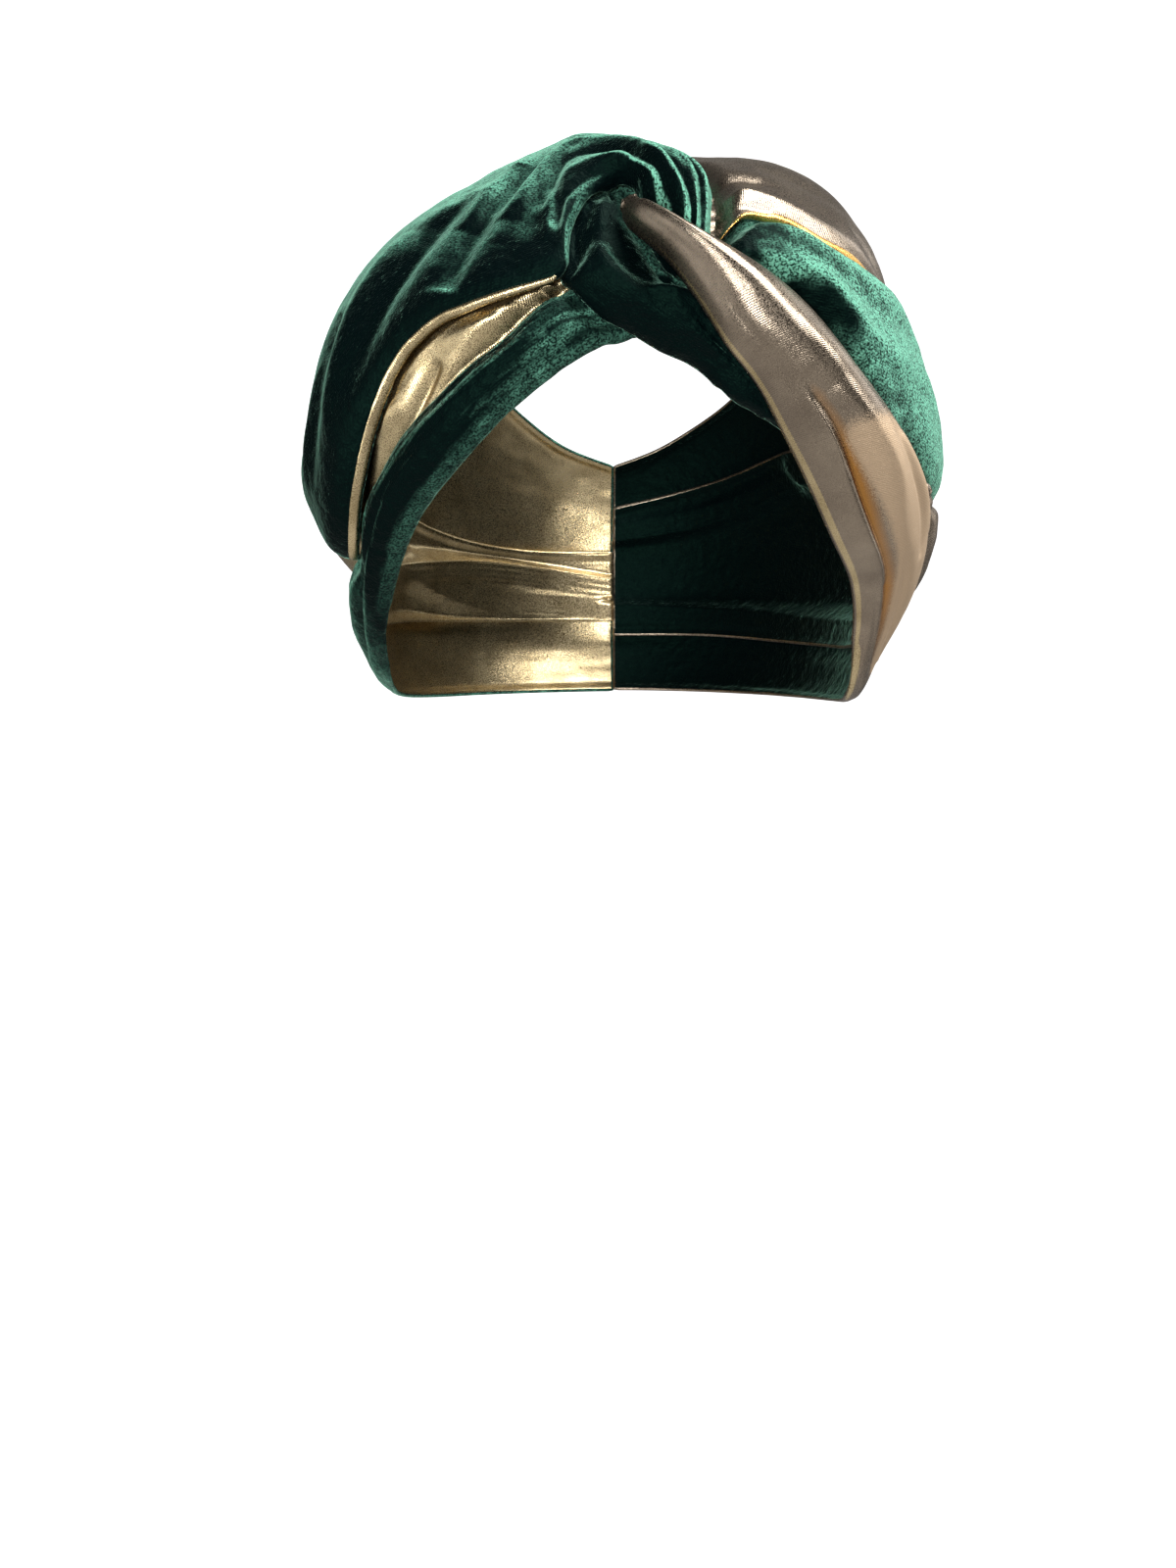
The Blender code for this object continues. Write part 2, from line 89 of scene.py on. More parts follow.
# Stitched rolls
STITCH = 0.0016       # pitch of the stitches
STITCH_DEPTH = 0.16   # share of the radius that a stitch draws in
STITCH_POWER = 6      # even exponent that makes the stitches narrow
ROLL_STEP = 0.0004    # length of a roll's cells
ROLL_SIDES = 12
ROLL_ENDS = 0.25      # exponent below 1 that makes the ends of a roll blunter
ROLL_TIP = 0.0001     # radius that is left at the very ends
ROLL_OUT = 0.0008     # how far the middle of a roll lies beyond its leaf's edge
ROLL_UP = 0.4         # how far it lies above that edge, as a share of its radius
ROLL_RELIEF = 0.0006  # height of folds that a roll's material reads

# Where light and shade are painted on the cloth
PAINTED_SHEEN_FACING = (0.40, 0.88, 0.26)    # direction that the velvet's painted sheen faces
BACK_SHADE = 0.7      # share of that painted sheen taken off where the velvet faces the back, a painted shade
PATCH_START = 0.5     # sections over which the lame patch with its painted reflection fades in
PATCH_END = 1.5       # sections over which it fades out
PATCH_SIDES = 0.08    # share of the breadth over which its sides fade

# Textures, as pitches in metres or as noise cells for each metre
VELVET_RIB = 0.00062
VELVET_PATCHES = 300.0
VELVET_PILE = 1900.0
LAME_RIB = 0.00055
LAME_PATCHES = 90.0
LAME_GRAIN = 4200.0

# Colours of the velvet: its own near-black deep in its pile, and its painted sheen where it faces the lights
VELVET_DARK = (0.0003, 0.0014, 0.0020, 1)
VELVET_PAINTED_SHEEN = (0.105, 0.290, 0.205, 1)
VELVET_GLOSS = (0.30, 0.95, 0.62, 1)
VELVET_SHEEN = (0.45, 0.92, 0.68, 1)

# Colours of the bright and the dark grains of each lame; the seam's lame is a more orange copy, a painted
# reflection
GOLD = ((0.30, 0.245, 0.185, 1), (0.15, 0.118, 0.09, 1))
LINING = ((0.58, 0.47, 0.28, 1), (0.27, 0.205, 0.105, 1))
SEAM_PAINTED_REFLECTION = ((0.86, 0.50, 0.15, 1), (0.42, 0.21, 0.05, 1))

# Colours of all lame: a painted amber reflection in deep folds, and a painted reflection with the weave's
# ribs on the duller patch
PAINTED_FOLD_REFLECTION = (0.36, 0.17, 0.045, 1)
PAINTED_REFLECTION_RIB_DARK = (0.36, 0.265, 0.175, 1)
PAINTED_REFLECTION_RIB_BRIGHT = (0.56, 0.425, 0.29, 1)
PAINTED_REFLECTION_GRAIN = (0.47, 0.35, 0.235, 1)

BACKDROP_WHITE = (0.9, 0.9, 0.9, 1)
WORLD_WHITE = (1, 0.98, 0.96, 1)

# Floor and backdrop
FLOOR = -0.276        # level of the floor
STAGE_FRONT = -1.5
STAGE_BACK = 1.6
STAGE_SIDE = 3.0      # half of its breadth
STAGE_TOP = 2.6       # height above the floor
STAGE_BEND = 0.5      # radius of the bend between the floor and the backdrop
STAGE_STEPS = 16      # flat strips in that bend

# Area lights: name, place, aim, size and watts
LIGHTS = [
    ("key_light", (0.32, -0.36, 0.84), (0.02, -0.05, 0.03), 0.36, 12.0),
    ("right_light", (0.80, 0.28, 0.50), (0.05, 0.0, 0.02), 0.35, 1.5),
    ("window_light", (0.62, -0.48, 0.42), (0.03, 0.0, 0.02), 0.36, 8.0),
    ("front_light", (-0.20, -0.90, -0.10), (0.0, 0.0, 0.0), 0.28, 10.0),
    ("side_light", (0.85, 0.02, -0.05), (0.05, 0.0, 0.0), 0.60, 2.0),
    ("left_light", (-0.80, -0.35, -0.12), (0.0, 0.0, 0.0), 0.45, 1.5),
]

# Surroundings: axis, two places on it and the brightness at each
WORLD_LEVELS = (("Y", -0.2, 1.0, 0.05, 0.20), ("Z", -0.35, -0.85, 0.0, 0.75))

# Camera of the photograph, with its height and focal length in the photograph's pixels
PHOTO_HEIGHT = 1600
FOCAL_LENGTH = 1202
SENSOR = 36           # millimetres
CAMERA_PLACE = (-0.010, -0.385, -0.026)
CAMERA_TILT = 82      # degrees up from straight down

# A section runs across a leaf, from its inner edge to its outer edge. Angles are degrees
# round the head and up from its middle, rises and puff are shares of FULLNESS.
Section = namedtuple("Section", "az_in el_in rise_in az_out el_out rise_out puff")

# A crease is a ridge (or a valley, with a negative height) on a leaf. Its points are pairs of
# section number and share across. Width and height are in metres, and open keeps its start
# high, where it comes from under another leaf.
Crease = namedtuple("Crease", "points width height open", defaults=(False,))

# A roll is a stitched cord of lame along a leaf's inner edge, between two section numbers.
Roll = namedtuple("Roll", "name start end radius material slot")

# A leaf is one soft shell that stands for the solid of its node. Face and back are the
# materials of its two sides. Along and across are the cells of its grid. A skew below 1 brings
# its fullest part nearer to the inner edge. Ripple is the height of its unevenness. Slope is
# the steepest way down to where an upper leaf presses it. Painted light and dullness is the range
# of facing over which velvet takes a painted sheen, or the patch of lame that takes a painted
# reflection and a duller finish: its first and last section and its low and high share across.
Leaf = namedtuple(
    "Leaf",
    "node face back slot sections creases along across skew ripple slope pale rolls",
    defaults=((), ()),
)

# Upper leaf of the left half, with the loop of the knot
UPPER_LEFT_SECTIONS = [
    Section(7.0, 27.8, 0.62, 12.5, 25.5, 0.60, 0.04),
    Section(3.8, 30.8, 0.72, 12.8, 29.5, 0.70, 0.14),
    Section(2.4, 34.8, 0.80, 14.2, 34.5, 0.68, 0.22),
    Section(1.0, 38.4, 0.84, 16.0, 41.5, 0.62, 0.22),
    Section(-2.6, 39.6, 0.84, 13.5, 51.0, 0.34, 0.18),
    Section(-7.5, 37.4, 0.82, 1.0, 62.5, 0.18, 0.12),
    Section(-10.4, 33.0, 0.76, -22.0, 69.0, 0.12, 0.14),
    Section(-11.4, 27.6, 0.64, -42.0, 68.5, 0.10, 0.13),
    Section(-18.0, 25.8, 0.64, -56.0, 66.0, 0.10, 0.12),
    Section(-26.0, 24.2, 0.68, -66.0, 62.5, 0.10, 0.13),
    Section(-34.0, 22.2, 0.72, -73.0, 60.0, 0.10, 0.20),
    Section(-41.0, 18.0, 0.74, -79.0, 57.5, 0.10, 0.30),
    Section(-46.5, 11.0, 0.74, -85.0, 55.0, 0.10, 0.42),
    Section(-51.0, 4.5, 0.69, -90.0, 53.0, 0.10, 0.50),
    Section(-56.5, -1.5, 0.60, -95.0, 51.0, 0.10, 0.52),
    Section(-62.5, -4.5, 0.48, -100.0, 48.5, 0.10, 0.52),
    Section(-68.5, -0.5, 0.56, -106.0, 46.0, 0.10, 0.50),
    Section(-75.0, 5.5, 0.68, -112.0, 43.5, 0.10, 0.42),
    Section(-84.0, 9.0, 0.68, -119.0, 40.5, 0.10, 0.30),
    Section(-97.0, 6.0, 0.52, -129.0, 36.0, 0.10, 0.24),
    Section(-113.0, -2.0, 0.38, -140.0, 31.0, 0.10, 0.18),
    Section(-131.0, -7.5, 0.36, -152.0, 26.0, 0.10, 0.14),
    Section(-154.0, -10.5, 0.36, -165.0, 21.0, 0.10, 0.11),
    Section(-BACK, -12.0, 0.36, -BACK, 17.5, 0.10, 0.08),
]
UPPER_LEFT_CREASES = [
    Crease([(0.6, 0.84), (1.2, 0.84), (2.1, 0.86), (3.0, 0.80), (3.6, 0.60)], 0.0016, 0.0013, open=True),
    Crease([(0.6, 0.76), (1.2, 0.765), (2.1, 0.77), (3.0, 0.70), (3.7, 0.56)], 0.0010, -0.0018, open=True),
    Crease([(0.6, 0.69), (1.2, 0.69), (2.3, 0.66), (3.0, 0.58), (3.9, 0.51)], 0.0015, 0.0013, open=True),
    Crease([(0.6, 0.61), (1.2, 0.62), (2.1, 0.56), (2.8, 0.43), (3.8, 0.40), (4.8, 0.48)],
           0.0013, -0.0022, open=True),
    Crease([(0.6, 0.53), (1.2, 0.53), (2.0, 0.44), (2.5, 0.31), (3.4, 0.25), (4.4, 0.38),
            (5.6, 0.42), (6.6, 0.39), (7.8, 0.24), (8.3, 0.14)], 0.0026, 0.0020, open=True),
    Crease([(0.8, 0.38), (1.6, 0.36), (2.3, 0.22), (3.4, 0.14), (4.4, 0.25), (5.2, 0.30),
            (6.4, 0.30), (7.3, 0.21)], 0.0018, -0.0024, open=True),
    Crease([(1.0, 0.26), (1.7, 0.22), (2.6, 0.10), (3.4, 0.04), (4.3, 0.10), (5.0, 0.16),
            (6.5, 0.21), (7.4, 0.18)], 0.0022, 0.0017, open=True),
    Crease([(3.9, 0.02), (5.0, 0.05), (6.2, 0.10), (7.0, 0.12)], 0.0018, -0.0016),
    Crease([(5.4, 0.56), (6.6, 0.54), (7.6, 0.42), (8.1, 0.28)], 0.0030, -0.0018),
    Crease([(6.0, 0.60), (7.2, 0.38), (8.1, 0.22)], 0.0034, 0.0020),
    Crease([(7.6, 0.50), (8.4, 0.30), (9.1, 0.14), (9.5, 0.05)], 0.0040, -0.0022),
    Crease([(7.4, 0.56), (8.2, 0.40), (9.0, 0.26)], 0.0036, 0.0020),
    Crease([(8.8, 0.44), (10.0, 0.26), (11.0, 0.14), (12.0, 0.06)], 0.0050, -0.0024),
    Crease([(6.9, 0.27), (7.05, 0.18), (7.2, 0.09)], 0.0016, 0.0009),
    Crease([(10.4, 0.40), (11.5, 0.27), (12.3, 0.15), (13.0, 0.07)], 0.0046, 0.0018),
    Crease([(12.2, 0.34), (13.2, 0.22), (14.2, 0.12)], 0.0050, -0.0018),
    Crease([(8.2, 0.40), (9.2, 0.42), (10.2, 0.38)], 0.0040, 0.0012),
    Crease([(12.8, 0.30), (13.8, 0.22), (15.0, 0.16), (16.4, 0.20)], 0.0050, 0.0016),
    Crease([(15.0, 0.30), (16.2, 0.42), (17.6, 0.50)], 0.0050, -0.0016),
    Crease([(16.0, 0.62), (18.0, 0.56), (20.0, 0.52)], 0.0060, 0.0014),
    Crease([(16.6, 0.30), (18.4, 0.34), (20.6, 0.30)], 0.0060, -0.0014),
]

# Lower leaf of the left half, above the brow
LOWER_LEFT_SECTIONS = [
    Section(4.0, 24.5, 0.17, -4.0, 29.0, 0.42, 0.05),
    Section(-0.5, 22.9, 0.15, -9.8, 27.2, 0.44, 0.08),
    Section(-8.0, 20.7, 0.13, -16.0, 23.7, 0.42, 0.08),
    Section(-15.7, 17.3, 0.13, -22.0, 19.8, 0.41, 0.08),
    Section(-23.6, 13.0, 0.13, -28.0, 17.2, 0.40, 0.08),
    Section(-32.2, 7.6, 0.13, -34.5, 13.7, 0.40, 0.08),
    Section(-42.3, 1.8, 0.13, -41.5, 10.0, 0.40, 0.09),
    Section(-50.5, -4.0, 0.13, -48.5, 5.0, 0.40, 0.10),
    Section(-58.0, -9.8, 0.13, -56.5, 0.0, 0.38, 0.10),
    Section(-65.0, -15.5, 0.13, -66.0, -5.5, 0.32, 0.08),
    Section(-71.0, -20.0, 0.13, -73.0, -8.5, 0.29, 0.09),
    Section(-78.0, -24.0, 0.13, -81.0, -9.0, 0.27, 0.10),
    Section(-92.0, -27.0, 0.17, -93.0, -8.0, 0.28, 0.11),
    Section(-115.0, -28.5, 0.20, -115.0, -5.0, 0.28, 0.10),
    Section(-145.0, -29.0, 0.20, -145.0, -4.0, 0.26, 0.08),
    Section(-BACK, -29.0, 0.20, -BACK, -7.0, 0.24, 0.06),
]
LOWER_LEFT_CREASES = [
    Crease([(0.6, 0.44), (1.6, 0.42), (2.5, 0.34), (3.2, 0.30)], 0.0016, 0.0009, open=True),
    Crease([(0.8, 0.58), (1.6, 0.60), (2.6, 0.62)], 0.0013, -0.0008, open=True),
    Crease([(0.9, 0.24), (1.7, 0.22), (2.4, 0.14)], 0.0013, -0.0008, open=True),
    Crease([(2.2, 0.80), (4.4, 0.84), (7.0, 0.82)], 0.0016, -0.0006),
    Crease([(2.4, 0.40), (4.2, 0.34), (6.0, 0.26), (7.2, 0.18)], 0.0040, 0.0008),
    Crease([(6.6, 0.46), (7.6, 0.40), (8.8, 0.33), (10.2, 0.25), (11.4, 0.22)], 0.0015, -0.0010),
    Crease([(7.4, 0.62), (9.0, 0.56), (11.0, 0.50)], 0.0030, 0.0009),
    Crease([(11.0, 0.42), (12.6, 0.52), (14.0, 0.48)], 0.0040, -0.0010),
]

# Core of the knot and the strip that runs from it to the right
KNOT_SECTIONS = [
    Section(-14.0, 39.0, 0.48, -1.0, 48.0, 0.42, 0.04),
    Section(-13.0, 32.0, 0.56, 4.0, 41.5, 0.50, 0.12),
    Section(-11.8, 28.0, 0.58, 7.0, 35.0, 0.52, 0.14),
    Section(-9.0, 25.9, 0.52, 8.5, 30.0, 0.54, 0.13),
    Section(-4.8, 23.9, 0.38, 10.5, 27.5, 0.54, 0.14),
    Section(0.4, 22.7, 0.24, 12.5, 25.0, 0.52, 0.14),
    Section(6.5, 20.6, 0.15, 15.5, 22.3, 0.46, 0.11),
    Section(13.5, 18.3, 0.15, 19.5, 19.5, 0.38, 0.08),
    Section(20.0, 14.2, 0.15, 25.0, 16.2, 0.32, 0.05),
    Section(27.0, 11.8, 0.15, 30.5, 13.6, 0.28, 0.03),
    Section(32.5, 10.0, 0.14, 35.5, 11.6, 0.22, 0.01),
]
KNOT_CREASES = [
    Crease([(1.2, 0.20), (2.1, 0.28), (3.3, 0.33), (4.5, 0.29), (5.3, 0.18), (5.9, 0.06)], 0.0026, 0.0007),
    Crease([(1.6, 0.40), (2.8, 0.46), (4.2, 0.42), (5.4, 0.30)], 0.0030, -0.0012),
    Crease([(0.8, 0.56), (2.5, 0.62), (3.4, 0.64), (5.1, 0.56), (6.6, 0.44)], 0.0050, 0.0008),
    Crease([(5.4, 0.46), (6.6, 0.24), (7.6, 0.10)], 0.0014, 0.0008),
    Crease([(5.8, 0.58), (7.2, 0.40), (8.8, 0.20)], 0.0012, -0.0007),
]

# Lame flap that crosses from the knot down to the right
FRONT_FLAP_SECTIONS = [
    Section(-1.2, 34.8, 0.84, 0.3, 35.4, 0.87, 0.00),
    Section(0.4, 31.6, 0.90, 3.6, 32.8, 0.94, 0.10),
    Section(5.8, 26.9, 0.93, 11.0, 27.9, 0.97, 0.20),
    Section(10.7, 22.1, 0.88, 21.4, 24.3, 0.92, 0.26),
    Section(15.1, 18.0, 0.77, 27.8, 21.0, 0.90, 0.28),
    Section(20.9, 14.7, 0.59, 33.0, 16.4, 0.92, 0.35),
    Section(27.2, 10.0, 0.41, 39.4, 12.3, 0.90, 0.40),
    Section(34.5, 3.8, 0.30, 47.9, 7.9, 0.86, 0.40),
    Section(42.4, -2.4, 0.24, 56.4, 3.2, 0.80, 0.36),
    Section(52.8, -8.8, 0.22, 62.6, -2.0, 0.70, 0.28),
    Section(60.2, -15.5, 0.20, 69.8, -8.5, 0.53, 0.16),
    Section(66.0, -23.0, 0.19, 77.5, -14.0, 0.31, 0.06),
    Section(74.0, -27.0, 0.16, 92.0, -15.5, 0.28, 0.06),
    Section(98.0, -28.5, 0.16, 116.0, -15.0, 0.24, 0.06),
    Section(135.0, -29.0, 0.15, 145.0, -13.5, 0.21, 0.06),
    Section(BACK, -29.0, 0.15, BACK, -12.5, 0.20, 0.05),
]
FRONT_FLAP_CREASES = [
    Crease([(1.0, 0.16), (3.0, 0.09), (5.0, 0.08), (7.0, 0.05), (9.0, 0.05), (11.0, 0.08)], 0.0009, -0.0006),
    Crease([(5.2, 0.18), (6.0, 0.22), (6.6, 0.22), (7.4, 0.19), (8.6, 0.18), (10.0, 0.19),
            (11.2, 0.22)], 0.0026, -0.0036),
    Crease([(5.6, 0.10), (6.4, 0.10), (7.2, 0.06), (8.4, 0.04)], 0.0014, 0.0012),
    Crease([(5.6, 0.34), (6.1, 0.38), (6.7, 0.44), (7.3, 0.41), (8.1, 0.28), (9.1, 0.15)], 0.0050, 0.0018),
    Crease([(0.8, 0.36), (2.0, 0.36), (3.2, 0.38), (4.3, 0.46), (5.4, 0.60)], 0.0060, 0.0014),
    Crease([(6.4, 0.68), (7.2, 0.66), (8.2, 0.62), (8.9, 0.52)], 0.0014, -0.0012),
    Crease([(6.6, 0.78), (7.6, 0.76), (8.6, 0.72)], 0.0020, 0.0010),
    Crease([(8.6, 0.30), (9.8, 0.34), (11.0, 0.40)], 0.0014, -0.0010),
    Crease([(11.0, 0.40), (12.4, 0.48), (14.0, 0.46)], 0.0030, -0.0010),
]

# Lame fold between the flap and the panel
RIGHT_FOLD_SECTIONS = [
    Section(38.5, 15.5, 0.56, 38.0, 8.0, 0.50, 0.00),
    Section(41.5, 15.5, 0.58, 40.5, 4.5, 0.50, 0.02),
    Section(47.0, 15.0, 0.60, 45.0, 0.5, 0.50, 0.06),
    Section(54.0, 13.5, 0.60, 52.0, -3.5, 0.50, 0.12),
    Section(61.5, 11.5, 0.64, 60.0, -8.0, 0.48, 0.24),
    Section(70.0, 10.5, 0.70, 70.0, -13.0, 0.38, 0.27),
    Section(81.0, 10.5, 0.62, 81.0, -17.0, 0.30, 0.26),
    Section(95.0, 12.5, 0.44, 94.0, -18.5, 0.26, 0.26),
    Section(110.0, 16.0, 0.28, 110.0, -18.5, 0.20, 0.20),
    Section(126.0, 17.5, 0.18, 127.0, -18.0, 0.17, 0.16),
    Section(150.0, 13.5, 0.16, 152.0, -17.0, 0.14, 0.12),
    Section(BACK, 9.0, 0.15, BACK, -17.0, 0.13, 0.08),
]
RIGHT_FOLD_CREASES = [
    Crease([(0.6, 0.14), (1.6, 0.17), (2.6, 0.24), (3.3, 0.38)], 0.0026, -0.0040, open=True),
    Crease([(0.8, 0.06), (1.8, 0.08), (2.9, 0.13), (3.5, 0.26)], 0.0011, 0.0014, open=True),
    Crease([(1.0, 0.25), (2.0, 0.30), (2.9, 0.40), (3.4, 0.50)], 0.0011, 0.0016, open=True),
    Crease([(2.2, 0.00), (3.2, 0.02), (3.75, 0.12), (3.85, 0.30), (3.95, 0.44), (3.7, 0.56), (3.2, 0.50)],
           0.0013, 0.0018),
    Crease([(4.1, 0.60), (4.4, 0.42), (4.9, 0.30), (5.8, 0.24)], 0.0020, -0.0014),
    Crease([(5.4, 0.16), (6.6, 0.22), (8.2, 0.34)], 0.0030, 0.0012),
    Crease([(5.6, 0.60), (7.0, 0.56), (9.0, 0.58)], 0.0040, -0.0014),
]

# Velvet panel of the right half
RIGHT_VELVET_SECTIONS = [
    Section(8.0, 33.0, 0.58, 7.5, 25.5, 0.60, 0.00),
    Section(14.0, 34.0, 0.72, 15.0, 22.5, 0.74, 0.04),
    Section(20.5, 36.2, 0.80, 21.0, 19.5, 0.82, 0.12),
    Section(27.0, 36.8, 0.84, 26.0, 16.0, 0.84, 0.18),
    Section(34.5, 36.2, 0.84, 32.0, 12.8, 0.80, 0.22),
    Section(42.0, 35.3, 0.80, 39.0, 11.0, 0.74, 0.24),
    Section(50.0, 33.8, 0.74, 46.0, 11.0, 0.74, 0.25),
    Section(58.0, 32.0, 0.66, 52.5, 10.3, 0.78, 0.23),
    Section(67.0, 30.5, 0.60, 59.5, 7.4, 0.82, 0.21),
    Section(78.0, 28.0, 0.52, 70.0, 4.5, 0.84, 0.22),
    Section(90.0, 25.0, 0.42, 84.0, 4.0, 0.76, 0.22),
    Section(103.0, 21.5, 0.32, 97.0, 6.0, 0.54, 0.14),
    Section(114.0, 18.5, 0.26, 109.0, 10.0, 0.36, 0.06),
    Section(124.0, 16.0, 0.20, 121.0, 13.0, 0.26, 0.02),
]
RIGHT_VELVET_CREASES = [
    Crease([(1.4, 0.70), (2.0, 0.65), (3.2, 0.55), (3.8, 0.59), (4.6, 0.66), (5.7, 0.71), (6.9, 0.68),
            (8.4, 0.66)], 0.0034, 0.0020, open=True),
    Crease([(1.8, 0.74), (2.9, 0.82), (3.8, 0.88), (5.2, 0.90), (6.6, 0.90)], 0.0030, -0.0018),
    Crease([(2.6, 0.40), (4.0, 0.44), (5.4, 0.50), (6.8, 0.50)], 0.0034, -0.0010),
    Crease([(1.2, 0.06), (3.1, 0.32), (5.2, 0.38), (7.3, 0.30)], 0.0050, 0.0010),
    Crease([(7.4, 0.50), (8.8, 0.46), (10.4, 0.48)], 0.0030, -0.0012),
]

# Lame crescent along the upper right rim
UPPER_RIGHT_SECTIONS = [
    Section(8.5, 33.5, 0.60, 8.0, 58.0, 0.12, -0.06),
    Section(13.6, 32.6, 0.78, 22.0, 63.0, 0.10, -0.10),
    Section(20.5, 34.6, 0.84, 38.0, 65.0, 0.10, -0.03),
    Section(27.5, 34.4, 0.86, 52.0, 64.5, 0.10, 0.10),
    Section(34.5, 32.8, 0.86, 64.0, 62.0, 0.10, 0.22),
    Section(42.0, 31.6, 0.88, 75.0, 58.0, 0.10, 0.27),
    Section(50.0, 30.4, 0.80, 86.0, 53.0, 0.10, 0.28),
    Section(58.0, 29.0, 0.72, 96.0, 48.0, 0.10, 0.28),
    Section(68.0, 27.0, 0.66, 106.0, 43.5, 0.10, 0.25),
    Section(80.0, 24.5, 0.58, 117.0, 39.0, 0.10, 0.22),
    Section(94.0, 21.0, 0.48, 129.0, 34.0, 0.10, 0.18),
    Section(111.0, 16.5, 0.36, 142.0, 29.0, 0.10, 0.14),
    Section(131.0, 11.5, 0.30, 155.0, 24.5, 0.10, 0.10),
    Section(153.0, 7.0, 0.26, 167.0, 20.5, 0.10, 0.08),
    Section(BACK, 4.0, 0.25, BACK, 17.5, 0.10, 0.06),
]
UPPER_RIGHT_CREASES = [
    Crease([(0.4, 0.30), (1.0, 0.22), (1.9, 0.12), (2.9, 0.06), (4.6, 0.06)], 0.0020, 0.0018, open=True),
    Crease([(0.6, 0.12), (1.6, 0.05), (2.6, 0.00)], 0.0018, -0.0016, open=True),
    Crease([(0.6, 0.66), (1.3, 0.56), (1.7, 0.38), (2.4, 0.22)], 0.0050, 0.0012, open=True),
    Crease([(0.9, 0.40), (1.3, 0.30), (1.9, 0.24), (3.0, 0.18)], 0.0026, -0.0010),
    Crease([(2.6, 0.36), (4.2, 0.30), (6.0, 0.30)], 0.0060, -0.0010),
    Crease([(5.0, 0.14), (6.4, 0.12), (8.0, 0.14)], 0.0030, -0.0012),
    Crease([(8.0, 0.40), (10.0, 0.36), (12.0, 0.40)], 0.0060, -0.0012),
]

# Lame lining that shows in the slit of the left half
LEFT_LINING_SECTIONS = [
    Section(-9.0, 25.0, 0.26, -10.0, 30.0, 0.32, 0.03),
    Section(-17.0, 20.5, 0.30, -18.0, 30.0, 0.26, 0.10),
    Section(-26.0, 16.5, 0.36, -28.0, 30.0, 0.20, 0.18),
    Section(-34.0, 11.5, 0.36, -38.0, 28.0, 0.20, 0.22),
    Section(-42.0, 6.8, 0.34, -47.0, 24.0, 0.28, 0.22),
    Section(-50.0, 1.8, 0.32, -56.0, 19.0, 0.42, 0.18),
    Section(-58.0, -5.0, 0.22, -65.0, 15.0, 0.66, 0.18),
    Section(-67.0, -12.0, 0.15, -74.0, 14.0, 0.74, 0.14),
    Section(-78.0, -14.5, 0.14, -84.0, 15.0, 0.66, 0.16),
    Section(-94.0, -14.5, 0.14, -97.0, 12.0, 0.44, 0.14),
    Section(-112.0, -14.0, 0.14, -112.0, 6.0, 0.26, 0.08),
    Section(-132.0, -14.0, 0.13, -132.0, 2.0, 0.18, 0.04),
    Section(-155.0, -14.0, 0.12, -155.0, 0.0, 0.16, 0.02),
    Section(-BACK, -14.0, 0.12, -BACK, 0.0, 0.14, 0.02),
]
LEFT_LINING_CREASES = [
    Crease([(0.4, 0.36), (1.1, 0.41), (1.7, 0.38), (2.4, 0.30), (3.3, 0.21), (4.2, 0.15)], 0.0034, 0.0018),
    Crease([(1.2, 0.44), (1.7, 0.48), (2.3, 0.52), (3.0, 0.51), (3.5, 0.47), (3.9, 0.38), (4.6, 0.30)],
           0.0011, 0.0016),
    Crease([(1.4, 0.58), (2.2, 0.62), (3.0, 0.61), (3.6, 0.55)], 0.0014, -0.0014),
    Crease([(2.8, 0.38), (3.2, 0.32), (3.6, 0.25), (4.2, 0.19)], 0.0014, -0.0020),
    Crease([(3.8, 0.38), (4.3, 0.30), (4.7, 0.25), (5.2, 0.21), (5.9, 0.17)], 0.0020, 0.0014),
    Crease([(4.6, 0.40), (5.2, 0.32), (6.0, 0.28)], 0.0016, -0.0012),
]


def unit(vectors):
    return vectors / np.maximum(np.linalg.norm(vectors, axis=-1, keepdims=True), 1e-12)


def directions(azimuth, elevation):
    """Unit vectors at angles round the head from the front and angles up."""
    az = np.radians(azimuth)
    el = np.radians(elevation)
    return np.stack((np.sin(az) * np.cos(el), -np.cos(az) * np.cos(el), np.sin(el)), -1)


def head_normals(ways):
    return unit(ways / HEAD_SIZE)


def head_points(ways, rises):
    """Points that stand off the head by the rises, in the given directions."""
    return ways * HEAD_SIZE / 2 + head_normals(ways) * rises[..., None]


def grid_normals(points):
    return unit(np.cross(np.gradient(points, axis=0), np.gradient(points, axis=1)))


def smooth_rows(rows, places):
    """Catmull-Rom blend of a table's rows at fractional row numbers."""
    table = np.array(rows, float)
    last = len(table) - 1
    first = np.clip(places.astype(int), 0, last - 1)
    u = (places - first)[:, None]
    a = table[np.maximum(first - 1, 0)]
    b = table[first]
    c = table[first + 1]
    d = table[np.minimum(first + 2, last)]
    curve = (2 * a - 5 * b + 4 * c - d) * u ** 2 + (3 * b - a - 3 * c + d) * u ** 3
    return b + 0.5 * ((c - a) * u + curve)


def base_surface(leaf, places, shares):
    """Directions and stand-offs of a leaf without its creases, at arrays of equal shape."""
    rows = smooth_rows(leaf.sections, places.ravel()).reshape(places.shape + (len(Section._fields),))
    az_in, el_in, rise_in, az_out, el_out, rise_out, puff = np.moveaxis(rows, -1, 0)
    start = directions(az_in, el_in)
    end = directions(az_out, el_out)
    angle = np.arccos(np.clip((start * end).sum(-1), -1, 1))
    ways = np.sin((1 - shares) * angle)[..., None] * start + np.sin(shares * angle)[..., None] * end
    ways = ways / np.sin(angle)[..., None]
    swell = np.sin(pi * np.clip(shares, 0, 1) ** leaf.skew).clip(0) ** CROWN
    rises = rise_in * (1 - shares) + rise_out * shares + puff * swell
    return ways, rises * FULLNESS


